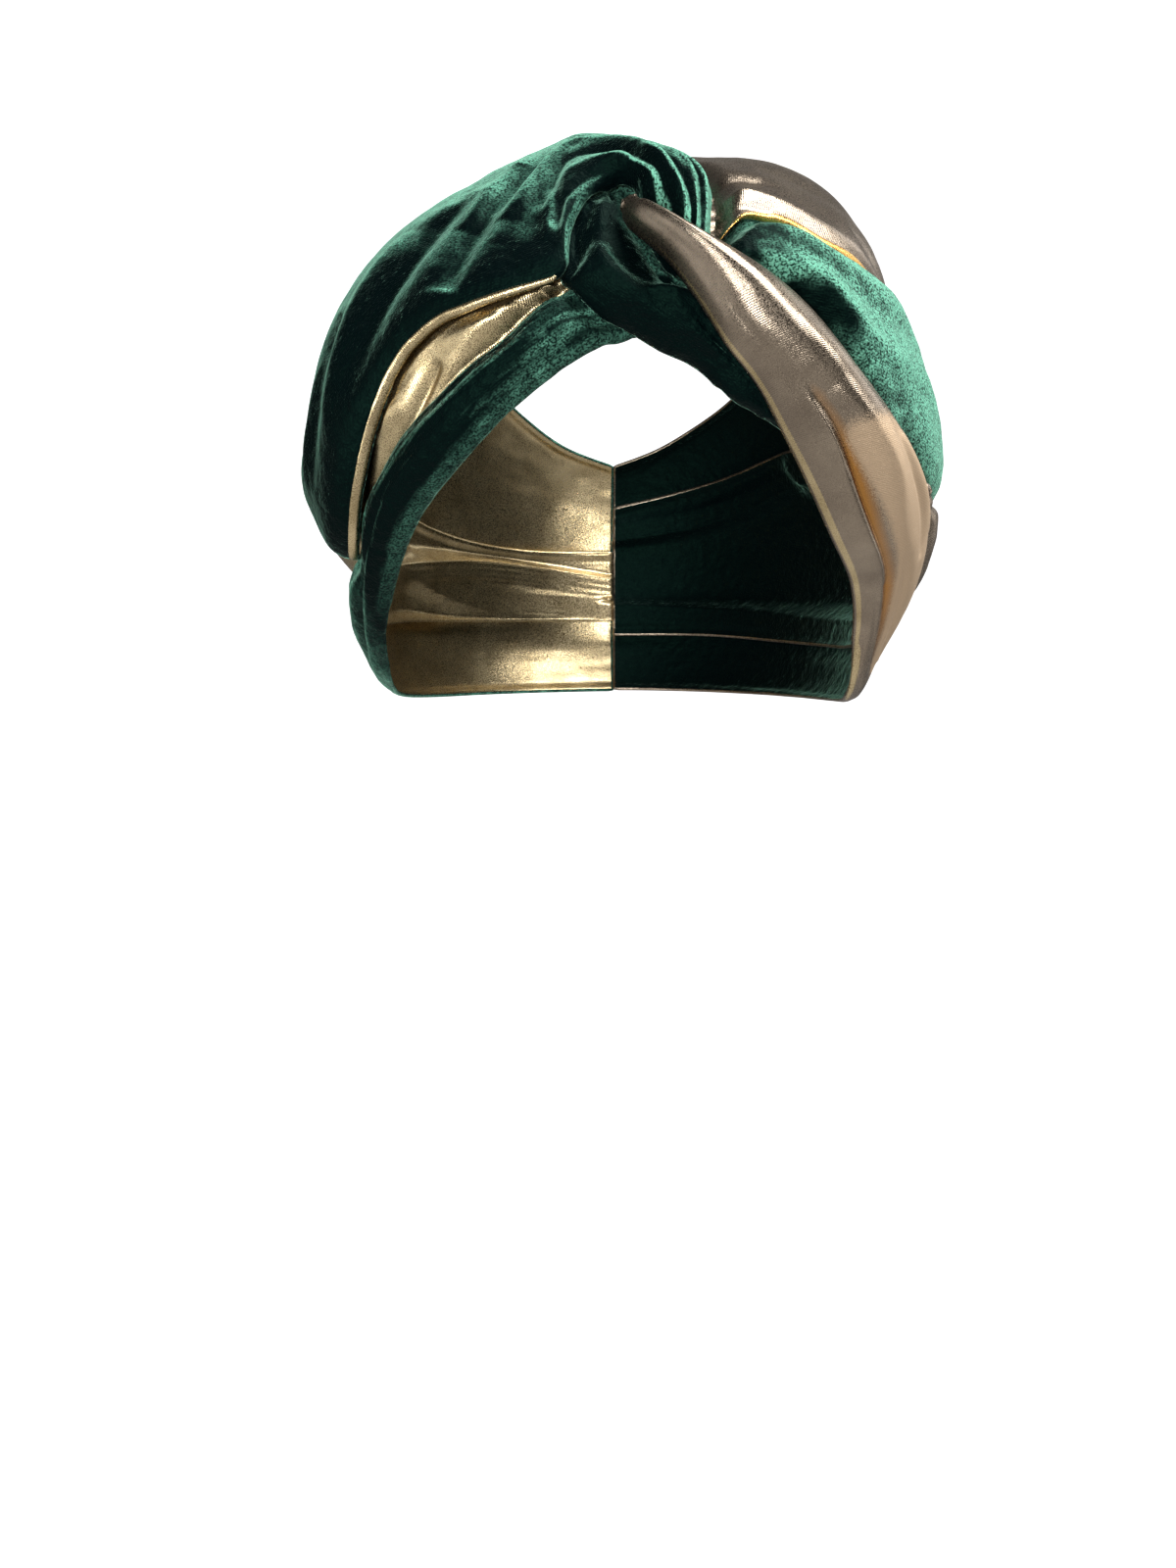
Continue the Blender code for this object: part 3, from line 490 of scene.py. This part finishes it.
def crease_rise(leaf, crease, points):
    """Height that one crease adds at each point of the leaf's base surface."""
    knots = len(crease.points) - 1
    path = smooth_rows(crease.points, np.linspace(0, knots, CREASE_STEPS * knots + 1))
    ways, rises = base_surface(leaf, path[:, 0], path[:, 1])
    line = head_points(ways, rises)
    flat = points.reshape(-1, 3)
    reach = CREASE_REACH * crease.width
    inside = ((flat > line.min(0) - reach) & (flat < line.max(0) + reach)).all(1)
    near = np.flatnonzero(inside)
    added = np.zeros(len(flat))
    if len(near) == 0:
        return added.reshape(points.shape[:-1])
    here = flat[near][:, None, :]
    start = line[:-1]
    step = line[1:] - start
    along = ((here - start) * step).sum(-1) / (step ** 2).sum(-1)
    along = along.clip(0, 1)
    apart = here - (start + along[..., None] * step)
    distance = np.linalg.norm(apart, axis=-1)
    best = distance.argmin(1)
    rows = np.arange(len(near))
    gap = distance[rows, best]
    share = (best + along[rows, best]) / len(step)
    fade = np.sin(pi * (0.5 + 0.5 * share if crease.open else share)).clip(0) ** CREASE_ENDS
    added[near] = crease.height * fade * np.exp(-((gap / crease.width) ** CREASE_FLANKS))
    return added.reshape(points.shape[:-1])


def ripple_rise(leaf, places, shares):
    """Slight unevenness of soft cloth, drawn out along the leaf."""
    start = sum(ord(letter) for letter in leaf.node) * RIPPLE_SHIFT
    along = (places * RIPPLES[0]).ravel().tolist()
    across = (shares * RIPPLES[1]).ravel().tolist()
    wide = [noise.noise((x + start, y, 0.0)) for x, y in zip(along, across)]
    finer, finer_across = FINE_RIPPLES
    fine = [
        noise.noise((finer * x, finer_across * y + start, FINE_LAYER))
        for x, y in zip(along, across)
    ]
    height = np.array(wide) * leaf.ripple + np.array(fine) * leaf.ripple * FINE_HEIGHT
    return height.reshape(places.shape)


def painted_light_shares(leaf, places, shares, outer):
    """Where light is painted on the outer face of a leaf, from 0 to 1."""
    if len(leaf.pale) == 2:
        normals = grid_normals(outer)
        normals = normals * np.sign((normals * unit(outer)).sum(-1))[..., None]
        first, last = leaf.pale
        # Painted sheen where velvet faces the lights, with painted shade where it faces the back
        toward_lights = ((normals @ np.array(PAINTED_SHEEN_FACING) - first) / (last - first)).clip(0, 1)
        return toward_lights * (1 - BACK_SHADE * normals[..., 1].clip(0, 1))
    if len(leaf.pale) == 4:
        # Painted reflection on a patch of lame, which its material also makes duller
        first, last, low, high = leaf.pale
        begun = ((places - first) / PATCH_START).clip(0, 1)
        left = ((last - places) / PATCH_END).clip(0, 1)
        above = ((shares - low) / PATCH_SIDES).clip(0, 1)
        below = ((high - shares) / PATCH_SIDES).clip(0, 1)
        return begun * left * (above * below)
    return np.zeros_like(shares)


class Covers:
    """Everything that lies over the leaves still to be made."""

    def __init__(self):
        self.points = []
        self.faces = []
        self.tree = None

    def add(self, points, faces):
        first = len(self.points)
        self.points += points
        self.faces += [tuple(corner + first for corner in face) for face in faces]
        self.tree = BVHTree.FromPolygons(self.points, self.faces)

    def drops(self, ways, rises):
        """How far each point has to sink to clear what lies over it or close beside it."""
        if self.tree is None:
            return np.zeros_like(rises)
        normals = head_normals(ways)
        base = head_points(ways, np.full_like(rises, -BELOW_HEAD))
        side = unit(np.cross(normals, (0.0, 0.0, 1.0)))
        up = np.cross(side, normals)
        least = np.full(rises.size, np.inf)
        offsets = [np.zeros_like(base)]
        for step in range(FEELERS):
            turn = step * 2 * pi / FEELERS
            offsets.append((side * cos(turn) + up * sin(turn)) * PRESS)
        aims = normals.reshape(-1, 3).tolist()
        for offset in offsets:
            starts = (base + offset).reshape(-1, 3).tolist()
            cast = self.tree.ray_cast
            felt = [cast(start, aim, REACH)[3] for start, aim in zip(starts, aims)]
            felt = np.array([np.inf if far is None else far for far in felt])
            place = np.array(starts)
            beyond_seam = (place[:, 1] > 0) & (place[:, 0] * ways[..., 0].ravel() < 0)
            least = np.fmin(least, np.where(beyond_seam, np.inf, felt))
        room = least.reshape(rises.shape) - BELOW_HEAD - GAP
        return np.maximum(rises - room, 0)


def eased(drops, cell, slope):
    """Spreads the drops softly round the places that are pressed down."""
    soft = drops.copy()
    for axis, step in enumerate(cell):
        for order in (1, -1):
            rows = np.moveaxis(soft, axis, 0)[::order]
            for k in range(1, len(rows)):
                rows[k] = np.maximum(rows[k], rows[k - 1] - slope * step)
    for _ in range(EASE):
        wide = np.pad(soft, 1, mode="edge")
        mean = (wide[:-2, 1:-1] + wide[2:, 1:-1] + wide[1:-1, :-2] + wide[1:-1, 2:] + soft) / 5
        soft = np.maximum(drops, mean)
    return soft


def leaf_surface(leaf, places, shares, covers):
    """Directions, stand-offs, fold heights and painted light of a leaf's outer face."""
    ways, rises = base_surface(leaf, places, shares)
    base = head_points(ways, rises)
    relief = ripple_rise(leaf, places, shares)
    for crease in leaf.creases:
        relief = relief + crease_rise(leaf, crease, base)
    # Where light is painted on the outer face
    pale = painted_light_shares(leaf, places, shares, head_points(ways, rises + relief))
    ahead = np.linalg.norm(np.diff(base, axis=0), axis=-1)
    aside = np.linalg.norm(np.diff(base, axis=1), axis=-1)
    from_edge = np.minimum(shares, 1 - shares) * aside.sum(1)[:, None]
    rises = rises + relief - EDGE_DEPTH * np.exp(-((from_edge / EDGE_WIDTH) ** 2))
    drops = covers.drops(ways, rises)
    rises = rises - eased(drops, (ahead.mean(), aside.mean()), leaf.slope)
    return ways, rises, relief, pale


def shell_faces(leaf):
    """Quads of a closed shell: outer grid, inner grid and rows round the hem; and the hem's loop."""
    along = leaf.along
    across = leaf.across
    wide = across + 1
    count = (along + 1) * wide
    i, j = np.meshgrid(np.arange(along), np.arange(across), indexing="ij")
    corner = (i * wide + j).ravel()
    outer = np.stack((corner, corner + 1, corner + wide + 1, corner + wide), 1)
    inner = outer[:, ::-1] + count
    loop = np.array(
        list(range(across))
        + [k * wide + across for k in range(along)]
        + [along * wide + k for k in range(across, 0, -1)]
        + [k * wide for k in range(along, 0, -1)]
    )
    rows = [loop]
    rows += [2 * count + k * len(loop) + np.arange(len(loop)) for k in range(RIM)]
    rows.append(loop + count)
    hem = []
    for here, there in zip(rows[:-1], rows[1:]):
        hem.append(np.stack((here, there, np.roll(there, -1), np.roll(here, -1)), 1))
    return outer, inner, np.concatenate(hem), loop


def hem_rows(leaf, outer, inner, loop):
    """Rows of points that round the hem off, from the outer face to the inner one."""
    row, column = np.divmod(loop, leaf.across + 1)
    above = outer[row, column]
    below = inner[row, column]
    back_row = row.clip(1, leaf.along - 1)
    back_column = column.clip(1, leaf.across - 1)
    inward = (outer[back_row, back_column] + inner[back_row, back_column]) / 2
    middle = (above + below) / 2
    outward = unit(middle - inward)
    half = np.linalg.norm(above - below, axis=1)[:, None] / 2
    rows = []
    for k in range(RIM):
        turn = pi * (k + 1) / (RIM + 1)
        rows.append(middle + (above - middle) * cos(turn) + outward * half * sin(turn))
    return rows


def over_shell(outer, inner, loop):
    """Values for all points of a shell: its outer grid, its inner grid and its hem."""
    return np.concatenate([outer, inner] + [outer[loop]] * RIM)


def cloth_places(outer, relief):
    """Metres along the leaf and across it and the height of its folds, at each point of its grid."""
    ahead = np.linalg.norm(np.diff(outer, axis=0), axis=-1).mean(1)
    ahead = np.concatenate(([0.0], np.cumsum(ahead)))
    aside = np.linalg.norm(np.diff(outer, axis=1), axis=-1)
    aside = np.concatenate((np.zeros((len(outer), 1)), np.cumsum(aside, 1)), 1)
    return np.stack((np.broadcast_to(ahead[:, None], aside.shape), aside, relief), -1)


def store(mesh, name, values):
    """Keeps a number or a vector for each point of a mesh, for its material to read."""
    kind, field = ("FLOAT", "value") if values.ndim == 1 else ("FLOAT_VECTOR", "vector")
    layer = mesh.attributes.new(name, kind, "POINT")
    layer.data.foreach_set(field, values.astype(np.float32).ravel())


def add_piece(mesh):
    """Puts a mesh into the scene as a smooth piece that rides on the band."""
    mesh.shade_smooth()
    mesh.update()
    piece = bpy.data.objects.new(mesh.name, mesh)
    bpy.context.scene.collection.objects.link(piece)
    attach(piece, "root")
    return piece


def build_leaf(leaf, covers):
    """A closed cloth shell for one leaf, and the rolls along its edge."""
    places, shares = np.meshgrid(
        np.linspace(0, len(leaf.sections) - 1, leaf.along + 1),
        np.linspace(0, 1, leaf.across + 1),
        indexing="ij",
    )
    ways, rises, relief, pale = leaf_surface(leaf, places, shares, covers)
    outer = head_points(ways, rises)
    normals = grid_normals(outer)
    squarely = np.abs((normals * head_normals(ways)).sum(-1)).clip(STEEPEST, 1)
    inner = head_points(ways, rises - WALL / squarely)
    outer_faces, inner_faces, hem_faces, loop = shell_faces(leaf)
    rows = hem_rows(leaf, outer, inner, loop)
    points = np.concatenate([outer.reshape(-1, 3), inner.reshape(-1, 3)] + rows)
    faces = np.concatenate((outer_faces, hem_faces, inner_faces))
    middle = (leaf.along // 2, leaf.across // 2)
    if normals[middle] @ outer[middle] < 0:
        faces = faces[:, ::-1]
    mesh = bpy.data.meshes.new(leaf.node + "_cloth")
    mesh.from_pydata(points.tolist(), [], faces.tolist())
    cloth = cloth_places(outer, relief)
    flat = cloth.reshape(-1, 3)
    store(mesh, "cloth", over_shell(flat, flat, loop))
    # Painted light for the materials to read, on the outer face only
    store(mesh, "pale", over_shell(pale.ravel(), np.zeros(pale.size), loop))
    mesh.materials.append(leaf.face)
    mesh.materials.append(leaf.back)
    material_index = np.zeros(len(faces), np.int32)
    material_index[-len(inner_faces):] = 1
    mesh.polygons.foreach_set("material_index", material_index)
    piece = add_piece(mesh)
    covers.add(points.tolist(), faces.tolist())
    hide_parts(leaf.node)
    rolls = [build_roll(roll, leaf, (outer + inner) / 2, covers) for roll in leaf.rolls]


def resampled(rows, walked, steps):
    """Rows of vectors read at new distances along their line."""
    return np.stack([np.interp(steps, walked, rows[:, k]) for k in range(3)], 1)


def tube_faces(rings):
    """Faces of a closed tube of that many rings."""
    i, j = np.meshgrid(np.arange(rings - 1), np.arange(ROLL_SIDES), indexing="ij")
    after = (j + 1) % ROLL_SIDES
    here = i * ROLL_SIDES
    there = here + ROLL_SIDES
    faces = np.stack((here + j, here + after, there + after, there + j), -1).reshape(-1, 4).tolist()
    tail = (rings - 1) * ROLL_SIDES
    faces.append(list(range(ROLL_SIDES - 1, -1, -1)))
    faces.append([tail + k for k in range(ROLL_SIDES)])
    return faces


def build_roll(roll, leaf, middles, covers):
    """A stitched roll of lame along the inner edge of a leaf."""
    last = len(leaf.sections) - 1
    first_row = round(roll.start / last * leaf.along)
    last_row = round(roll.end / last * leaf.along)
    edge = middles[first_row:last_row + 1, 0]
    beside = middles[first_row:last_row + 1, 1]
    walked = np.concatenate(([0.0], np.cumsum(np.linalg.norm(np.diff(edge, axis=0), axis=1))))
    length = walked[-1]
    steps = np.linspace(0, length, round(length / ROLL_STEP))
    line = resampled(edge, walked, steps)
    beyond = unit(resampled(unit(edge - beside), walked, steps))
    up = unit(line / HEAD_SIZE ** 2)
    ends = np.sin(pi * steps / length).clip(0) ** ROLL_ENDS
    stitches = 1 - STITCH_DEPTH * np.cos(2 * pi * steps / STITCH) ** STITCH_POWER
    size = roll.radius * ends * stitches + ROLL_TIP
    centre = line + beyond * ROLL_OUT + up * roll.radius * ROLL_UP
    turns = np.arange(ROLL_SIDES) * 2 * pi / ROLL_SIDES
    ring = beyond[:, None] * np.cos(turns)[:, None] + up[:, None] * np.sin(turns)[:, None]
    points = (centre[:, None] + ring * size[:, None, None]).reshape(-1, 3).tolist()
    faces = tube_faces(len(line))
    mesh = bpy.data.meshes.new(roll.name)
    mesh.from_pydata(points, [], faces)
    shell = bmesh.new()
    shell.from_mesh(mesh)
    bmesh.ops.recalc_face_normals(shell, faces=shell.faces)
    shell.to_mesh(mesh)
    shell.free()
    across = np.broadcast_to(turns * roll.radius, (len(line), ROLL_SIDES))
    along = np.broadcast_to(steps[:, None], across.shape)
    store(mesh, "cloth", np.stack((along, across, np.full(across.shape, ROLL_RELIEF)), -1))
    mesh.materials.append(roll.material)
    piece = add_piece(mesh)
    covers.add(points, faces)
    return piece


class Nodes:
    """Short calls for building a material's node tree."""

    def __init__(self, name):
        self.material = bpy.data.materials.new(name)
        self.material.use_nodes = True
        self.tree = self.material.node_tree
        self.shader = self.tree.nodes["Principled BSDF"]

    def add(self, kind, **settings):
        node = self.tree.nodes.new(kind)
        for key, value in settings.items():
            setattr(node, key, value)
        return node

    def feed(self, socket, value):
        if isinstance(value, bpy.types.NodeSocket):
            self.tree.links.new(value, socket)
        else:
            socket.default_value = value

    def math(self, operation, *values):
        node = self.add("ShaderNodeMath", operation=operation)
        for socket, value in zip(node.inputs, values):
            self.feed(socket, value)
        return node.outputs[0]

    def noise(self, scale, detail):
        node = self.add("ShaderNodeTexNoise")
        self.feed(node.inputs["Vector"], self.add("ShaderNodeTexCoord").outputs["Object"])
        node.inputs["Scale"].default_value = scale
        node.inputs["Detail"].default_value = detail
        return node.outputs["Fac"]

    # Share of painted light that the leaf stored
    def pale(self):
        return self.add("ShaderNodeAttribute", attribute_name="pale").outputs["Fac"]

    def cloth(self):
        """Metres along the leaf, metres across it, and the height of its folds."""
        place = self.add("ShaderNodeAttribute", attribute_name="cloth")
        split = self.add("ShaderNodeSeparateXYZ")
        self.feed(split.inputs[0], place.outputs["Vector"])
        return split.outputs

    def stretch(self, value, low, high, to_low=0.0, to_high=1.0):
        node = self.add("ShaderNodeMapRange")
        for socket, given in zip(node.inputs, (value, low, high, to_low, to_high)):
            self.feed(socket, given)
        return node.outputs[0]

    def ribs(self, place, pitch):
        """Fine ridges across one direction of the cloth, from 0 to 1."""
        wave = self.math("SINE", self.math("MULTIPLY", place, 2 * pi / pitch))
        return self.stretch(wave, -1.0, 1.0)

    def mix(self, share, first, second):
        node = self.add("ShaderNodeMix", data_type="RGBA")
        self.feed(node.inputs[0], share)
        self.feed(node.inputs[6], first)
        self.feed(node.inputs[7], second)
        return node.outputs[2]

    def bumps(self, *layers):
        """Bumps one on another, each with its height, its depth in metres and its strength."""
        under = None
        for height, depth, strength in layers:
            node = self.add("ShaderNodeBump")
            node.inputs["Strength"].default_value = strength
            node.inputs["Distance"].default_value = depth
            self.feed(node.inputs["Height"], height)
            if under is not None:
                self.feed(node.inputs["Normal"], under)
            under = node.outputs[0]
        self.feed(self.shader.inputs["Normal"], under)


def velvet_material(name):
    """Near-black velvet with a painted pale green sheen where it faces the lights, with ribs and specks."""
    nodes = Nodes(name)
    shader = nodes.shader
    _, across, relief = nodes.cloth()
    rib = nodes.ribs(across, VELVET_RIB)
    patches = nodes.noise(VELVET_PATCHES, 3.0)
    pile = nodes.noise(VELVET_PILE, 1.0)
    # Painted highlight on ridges and painted shade in valleys, and painted glints of single tufts and ribs
    painted_crest_light = nodes.stretch(relief, -0.0012, 0.0018, 0.45, 1.35)
    speck = nodes.stretch(pile, 0.38, 0.62, 0.10, 1.9)
    speck = nodes.math("MULTIPLY", speck, nodes.stretch(rib, 0.0, 1.0, 0.75, 1.25))
    uneven = nodes.math("MULTIPLY", speck, nodes.stretch(patches, 0.35, 0.65, 0.6, 1.3))
    # The painted light and shade, mixed from the velvet's own near-black into its painted sheen
    shade = nodes.math("MULTIPLY", nodes.math("MULTIPLY", nodes.pale(), painted_crest_light), uneven)
    nodes.feed(shader.inputs["Base Color"], nodes.mix(shade, VELVET_DARK, VELVET_PAINTED_SHEEN))
    shader.inputs["Roughness"].default_value = 0.50
    shader.inputs["Specular IOR Level"].default_value = 0.06
    shader.inputs["Specular Tint"].default_value = VELVET_GLOSS
    shader.inputs["Sheen Weight"].default_value = 0.3
    shader.inputs["Sheen Roughness"].default_value = 0.22
    shader.inputs["Sheen Tint"].default_value = VELVET_SHEEN
    nodes.bumps((patches, 0.0014, 0.6), (rib, 0.00006, 0.6), (pile, 0.00022, 1.0))
    return nodes.material


def lame_material(name, bright, dark):
    """Glossy metallic knit: grained, with a painted amber reflection in deep folds, and a painted reflection
    with its weave on a duller patch.
    """
    nodes = Nodes(name)
    shader = nodes.shader
    along, _, relief = nodes.cloth()
    rib = nodes.ribs(along, LAME_RIB)
    patches = nodes.noise(LAME_PATCHES, 2.0)
    grain = nodes.noise(LAME_GRAIN, 1.0)
    shade = nodes.math("MULTIPLY_ADD", grain, 0.6, nodes.math("MULTIPLY", patches, 0.4))
    shade = nodes.stretch(shade, 0.35, 0.65)
    base = nodes.mix(shade, dark, bright)
    # Painted amber reflection in valleys from 1.1 mm to 3 mm deep
    base = nodes.mix(nodes.stretch(relief, -0.0011, -0.0030), base, PAINTED_FOLD_REFLECTION)
    # The grain frays the edge of the patch with the painted reflection and the duller finish
    pale = nodes.stretch(nodes.math("MULTIPLY_ADD", grain, 0.9, nodes.pale()), 0.75, 1.15)
    # Painted reflection of the patch, with the weave's ribs
    painted_reflection = nodes.mix(shade, nodes.mix(rib, PAINTED_REFLECTION_RIB_DARK, PAINTED_REFLECTION_RIB_BRIGHT), PAINTED_REFLECTION_GRAIN)
    nodes.feed(shader.inputs["Base Color"], nodes.mix(pale, base, painted_reflection))
    shader.inputs["Metallic"].default_value = 1.0
    finish = nodes.stretch(grain, 0.42, 0.58, 0.22, 0.40)
    nodes.feed(shader.inputs["Roughness"], nodes.math("MULTIPLY_ADD", pale, 0.25, finish))
    nodes.bumps((patches, 0.0006, 0.4), (rib, 0.00005, 0.6), (grain, 0.00005, 0.8))
    return nodes.material


def backdrop_material():
    """Matt white that glows by itself, so that it needs no light of its own."""
    nodes = Nodes("backdrop_white")
    shader = nodes.shader
    shader.inputs["Base Color"].default_value = BACKDROP_WHITE
    shader.inputs["Roughness"].default_value = 0.9
    shader.inputs["Emission Color"].default_value = BACKDROP_WHITE
    shader.inputs["Emission Strength"].default_value = 0.85
    return nodes.material


def build_stage():
    """A pale floor that turns up into a backdrop."""
    bend_start = STAGE_BACK - STAGE_BEND
    profile = [(STAGE_FRONT, FLOOR), (bend_start, FLOOR)]
    for step in range(1, STAGE_STEPS + 1):
        turn = step / STAGE_STEPS * pi / 2
        profile.append((bend_start + STAGE_BEND * sin(turn), FLOOR + STAGE_BEND * (1 - cos(turn))))
    profile.append((STAGE_BACK, FLOOR + STAGE_TOP))
    points = [(x, y, z) for y, z in profile for x in (-STAGE_SIDE, STAGE_SIDE)]
    faces = [(2 * k, 2 * k + 1, 2 * k + 3, 2 * k + 2) for k in range(len(profile) - 1)]
    mesh = bpy.data.meshes.new("backdrop")
    mesh.from_pydata(points, [], faces)
    mesh.shade_smooth()
    mesh.materials.append(backdrop_material())
    backdrop = bpy.data.objects.new("backdrop", mesh)
    backdrop.visible_glossy = False
    backdrop.visible_diffuse = False
    bpy.context.scene.collection.objects.link(backdrop)


def area_light(name, place, aim, size, watts):
    data = bpy.data.lights.new(name, "AREA")
    data.energy = watts
    data.size = size
    light = bpy.data.objects.new(name, data)
    light.location = place
    light.rotation_euler = (Vector(place) - Vector(aim)).to_track_quat("Z", "Y").to_euler()
    bpy.context.scene.collection.objects.link(light)


def build_world():
    """Dim surroundings, brighter behind the headband and below it."""
    world = bpy.data.worlds.new("studio")
    world.use_nodes = True
    tree = world.node_tree
    place = tree.nodes.new("ShaderNodeTexCoord")
    split = tree.nodes.new("ShaderNodeSeparateXYZ")
    tree.links.new(place.outputs["Generated"], split.inputs[0])
    total = tree.nodes.new("ShaderNodeMath")
    total.operation = "ADD"
    for socket, (axis, *levels) in zip(total.inputs, WORLD_LEVELS):
        level = tree.nodes.new("ShaderNodeMapRange")
        tree.links.new(split.outputs[axis], level.inputs["Value"])
        for name, value in zip(("From Min", "From Max", "To Min", "To Max"), levels):
            level.inputs[name].default_value = value
        tree.links.new(level.outputs[0], socket)
    background = tree.nodes["Background"]
    background.inputs["Color"].default_value = WORLD_WHITE
    tree.links.new(total.outputs[0], background.inputs["Strength"])
    bpy.context.scene.world = world


def build_camera():
    data = bpy.data.cameras.new("camera")
    data.sensor_width = SENSOR
    data.lens = SENSOR * FOCAL_LENGTH / PHOTO_HEIGHT
    data.clip_start = 0.01
    camera = bpy.data.objects.new("camera", data)
    camera.location = CAMERA_PLACE
    camera.rotation_euler = (radians(CAMERA_TILT), 0, 0)
    bpy.context.scene.collection.objects.link(camera)
    bpy.context.scene.camera = camera


def build_band():
    """The eight leaves from the top one down, so that each is pressed by those over it."""
    velvet = velvet_material("emerald_velvet")
    gold = lame_material("gold_lame", *GOLD)
    lining = lame_material("gold_lining", *LINING)
    # The crescent's roll takes a more orange copy of the lame, a painted reflection
    seam_lame_painted_reflection = lame_material("crescent_seam_painted_reflection", *SEAM_PAINTED_REFLECTION)
    flap_roll = Roll("flap_seam_roll", 0.3, 12.0, 0.0010, lining, "gold_lining")
    crescent_roll = Roll("crescent_seam_roll", 0.8, 9.0, 0.0012, seam_lame_painted_reflection, "gold_lining")
    slit_roll = Roll("slit_seam_roll", 7.2, 16.5, 0.0011, lining, "gold_lining")
    leaves = [
        # The flap's patch from section 6 to 13.5 takes a painted reflection and a duller finish
        Leaf("right_lame_flap", gold, velvet, "gold_lame",
             FRONT_FLAP_SECTIONS, FRONT_FLAP_CREASES,
             along=300, across=80, skew=0.8, ripple=0.00012, slope=1.0,
             pale=(6.0, 13.5, 0.20, 0.86), rolls=[flap_roll]),
        Leaf("upper_left_velvet", velvet, lining, "emerald_velvet",
             UPPER_LEFT_SECTIONS, UPPER_LEFT_CREASES,
             along=340, across=136, skew=0.75, ripple=0.0003, slope=0.8,
             pale=(-0.72, -0.26), rolls=[slit_roll]),
        Leaf("knot_velvet", velvet, velvet, "emerald_velvet",
             KNOT_SECTIONS, KNOT_CREASES,
             along=130, across=90, skew=1.0, ripple=0.0003, slope=0.8, pale=(-0.52, 0.20)),
        Leaf("upper_right_lame", gold, velvet, "gold_lame",
             UPPER_RIGHT_SECTIONS, UPPER_RIGHT_CREASES,
             along=260, across=90, skew=1.1, ripple=0.00012, slope=1.6, rolls=[crescent_roll]),
        Leaf("right_velvet_panel", velvet, gold, "emerald_velvet",
             RIGHT_VELVET_SECTIONS, RIGHT_VELVET_CREASES,
             along=220, across=90, skew=1.0, ripple=0.0003, slope=2.4, pale=(-0.64, -0.20)),
        Leaf("right_lame_fold", gold, velvet, "gold_lame",
             RIGHT_FOLD_SECTIONS, RIGHT_FOLD_CREASES,
             along=220, across=110, skew=1.0, ripple=0.0003, slope=1.0),
        Leaf("lower_left_velvet", velvet, lining, "emerald_velvet",
             LOWER_LEFT_SECTIONS, LOWER_LEFT_CREASES,
             along=280, across=70, skew=1.0, ripple=0.0002, slope=0.45, pale=(-0.92, -0.28)),
        Leaf("left_lame_lining", lining, lining, "gold_lining",
             LEFT_LINING_SECTIONS, LEFT_LINING_CREASES,
             along=260, across=100, skew=0.65, ripple=0.00015, slope=0.8),
    ]
    covers = Covers()
    for leaf in leaves:
        build_leaf(leaf, covers)


def main():
    build_band()
    build_stage()
    for light in LIGHTS:
        area_light(*light)
    build_world()
    build_camera()
    bpy.context.scene.view_settings.view_transform = "Standard"


main()
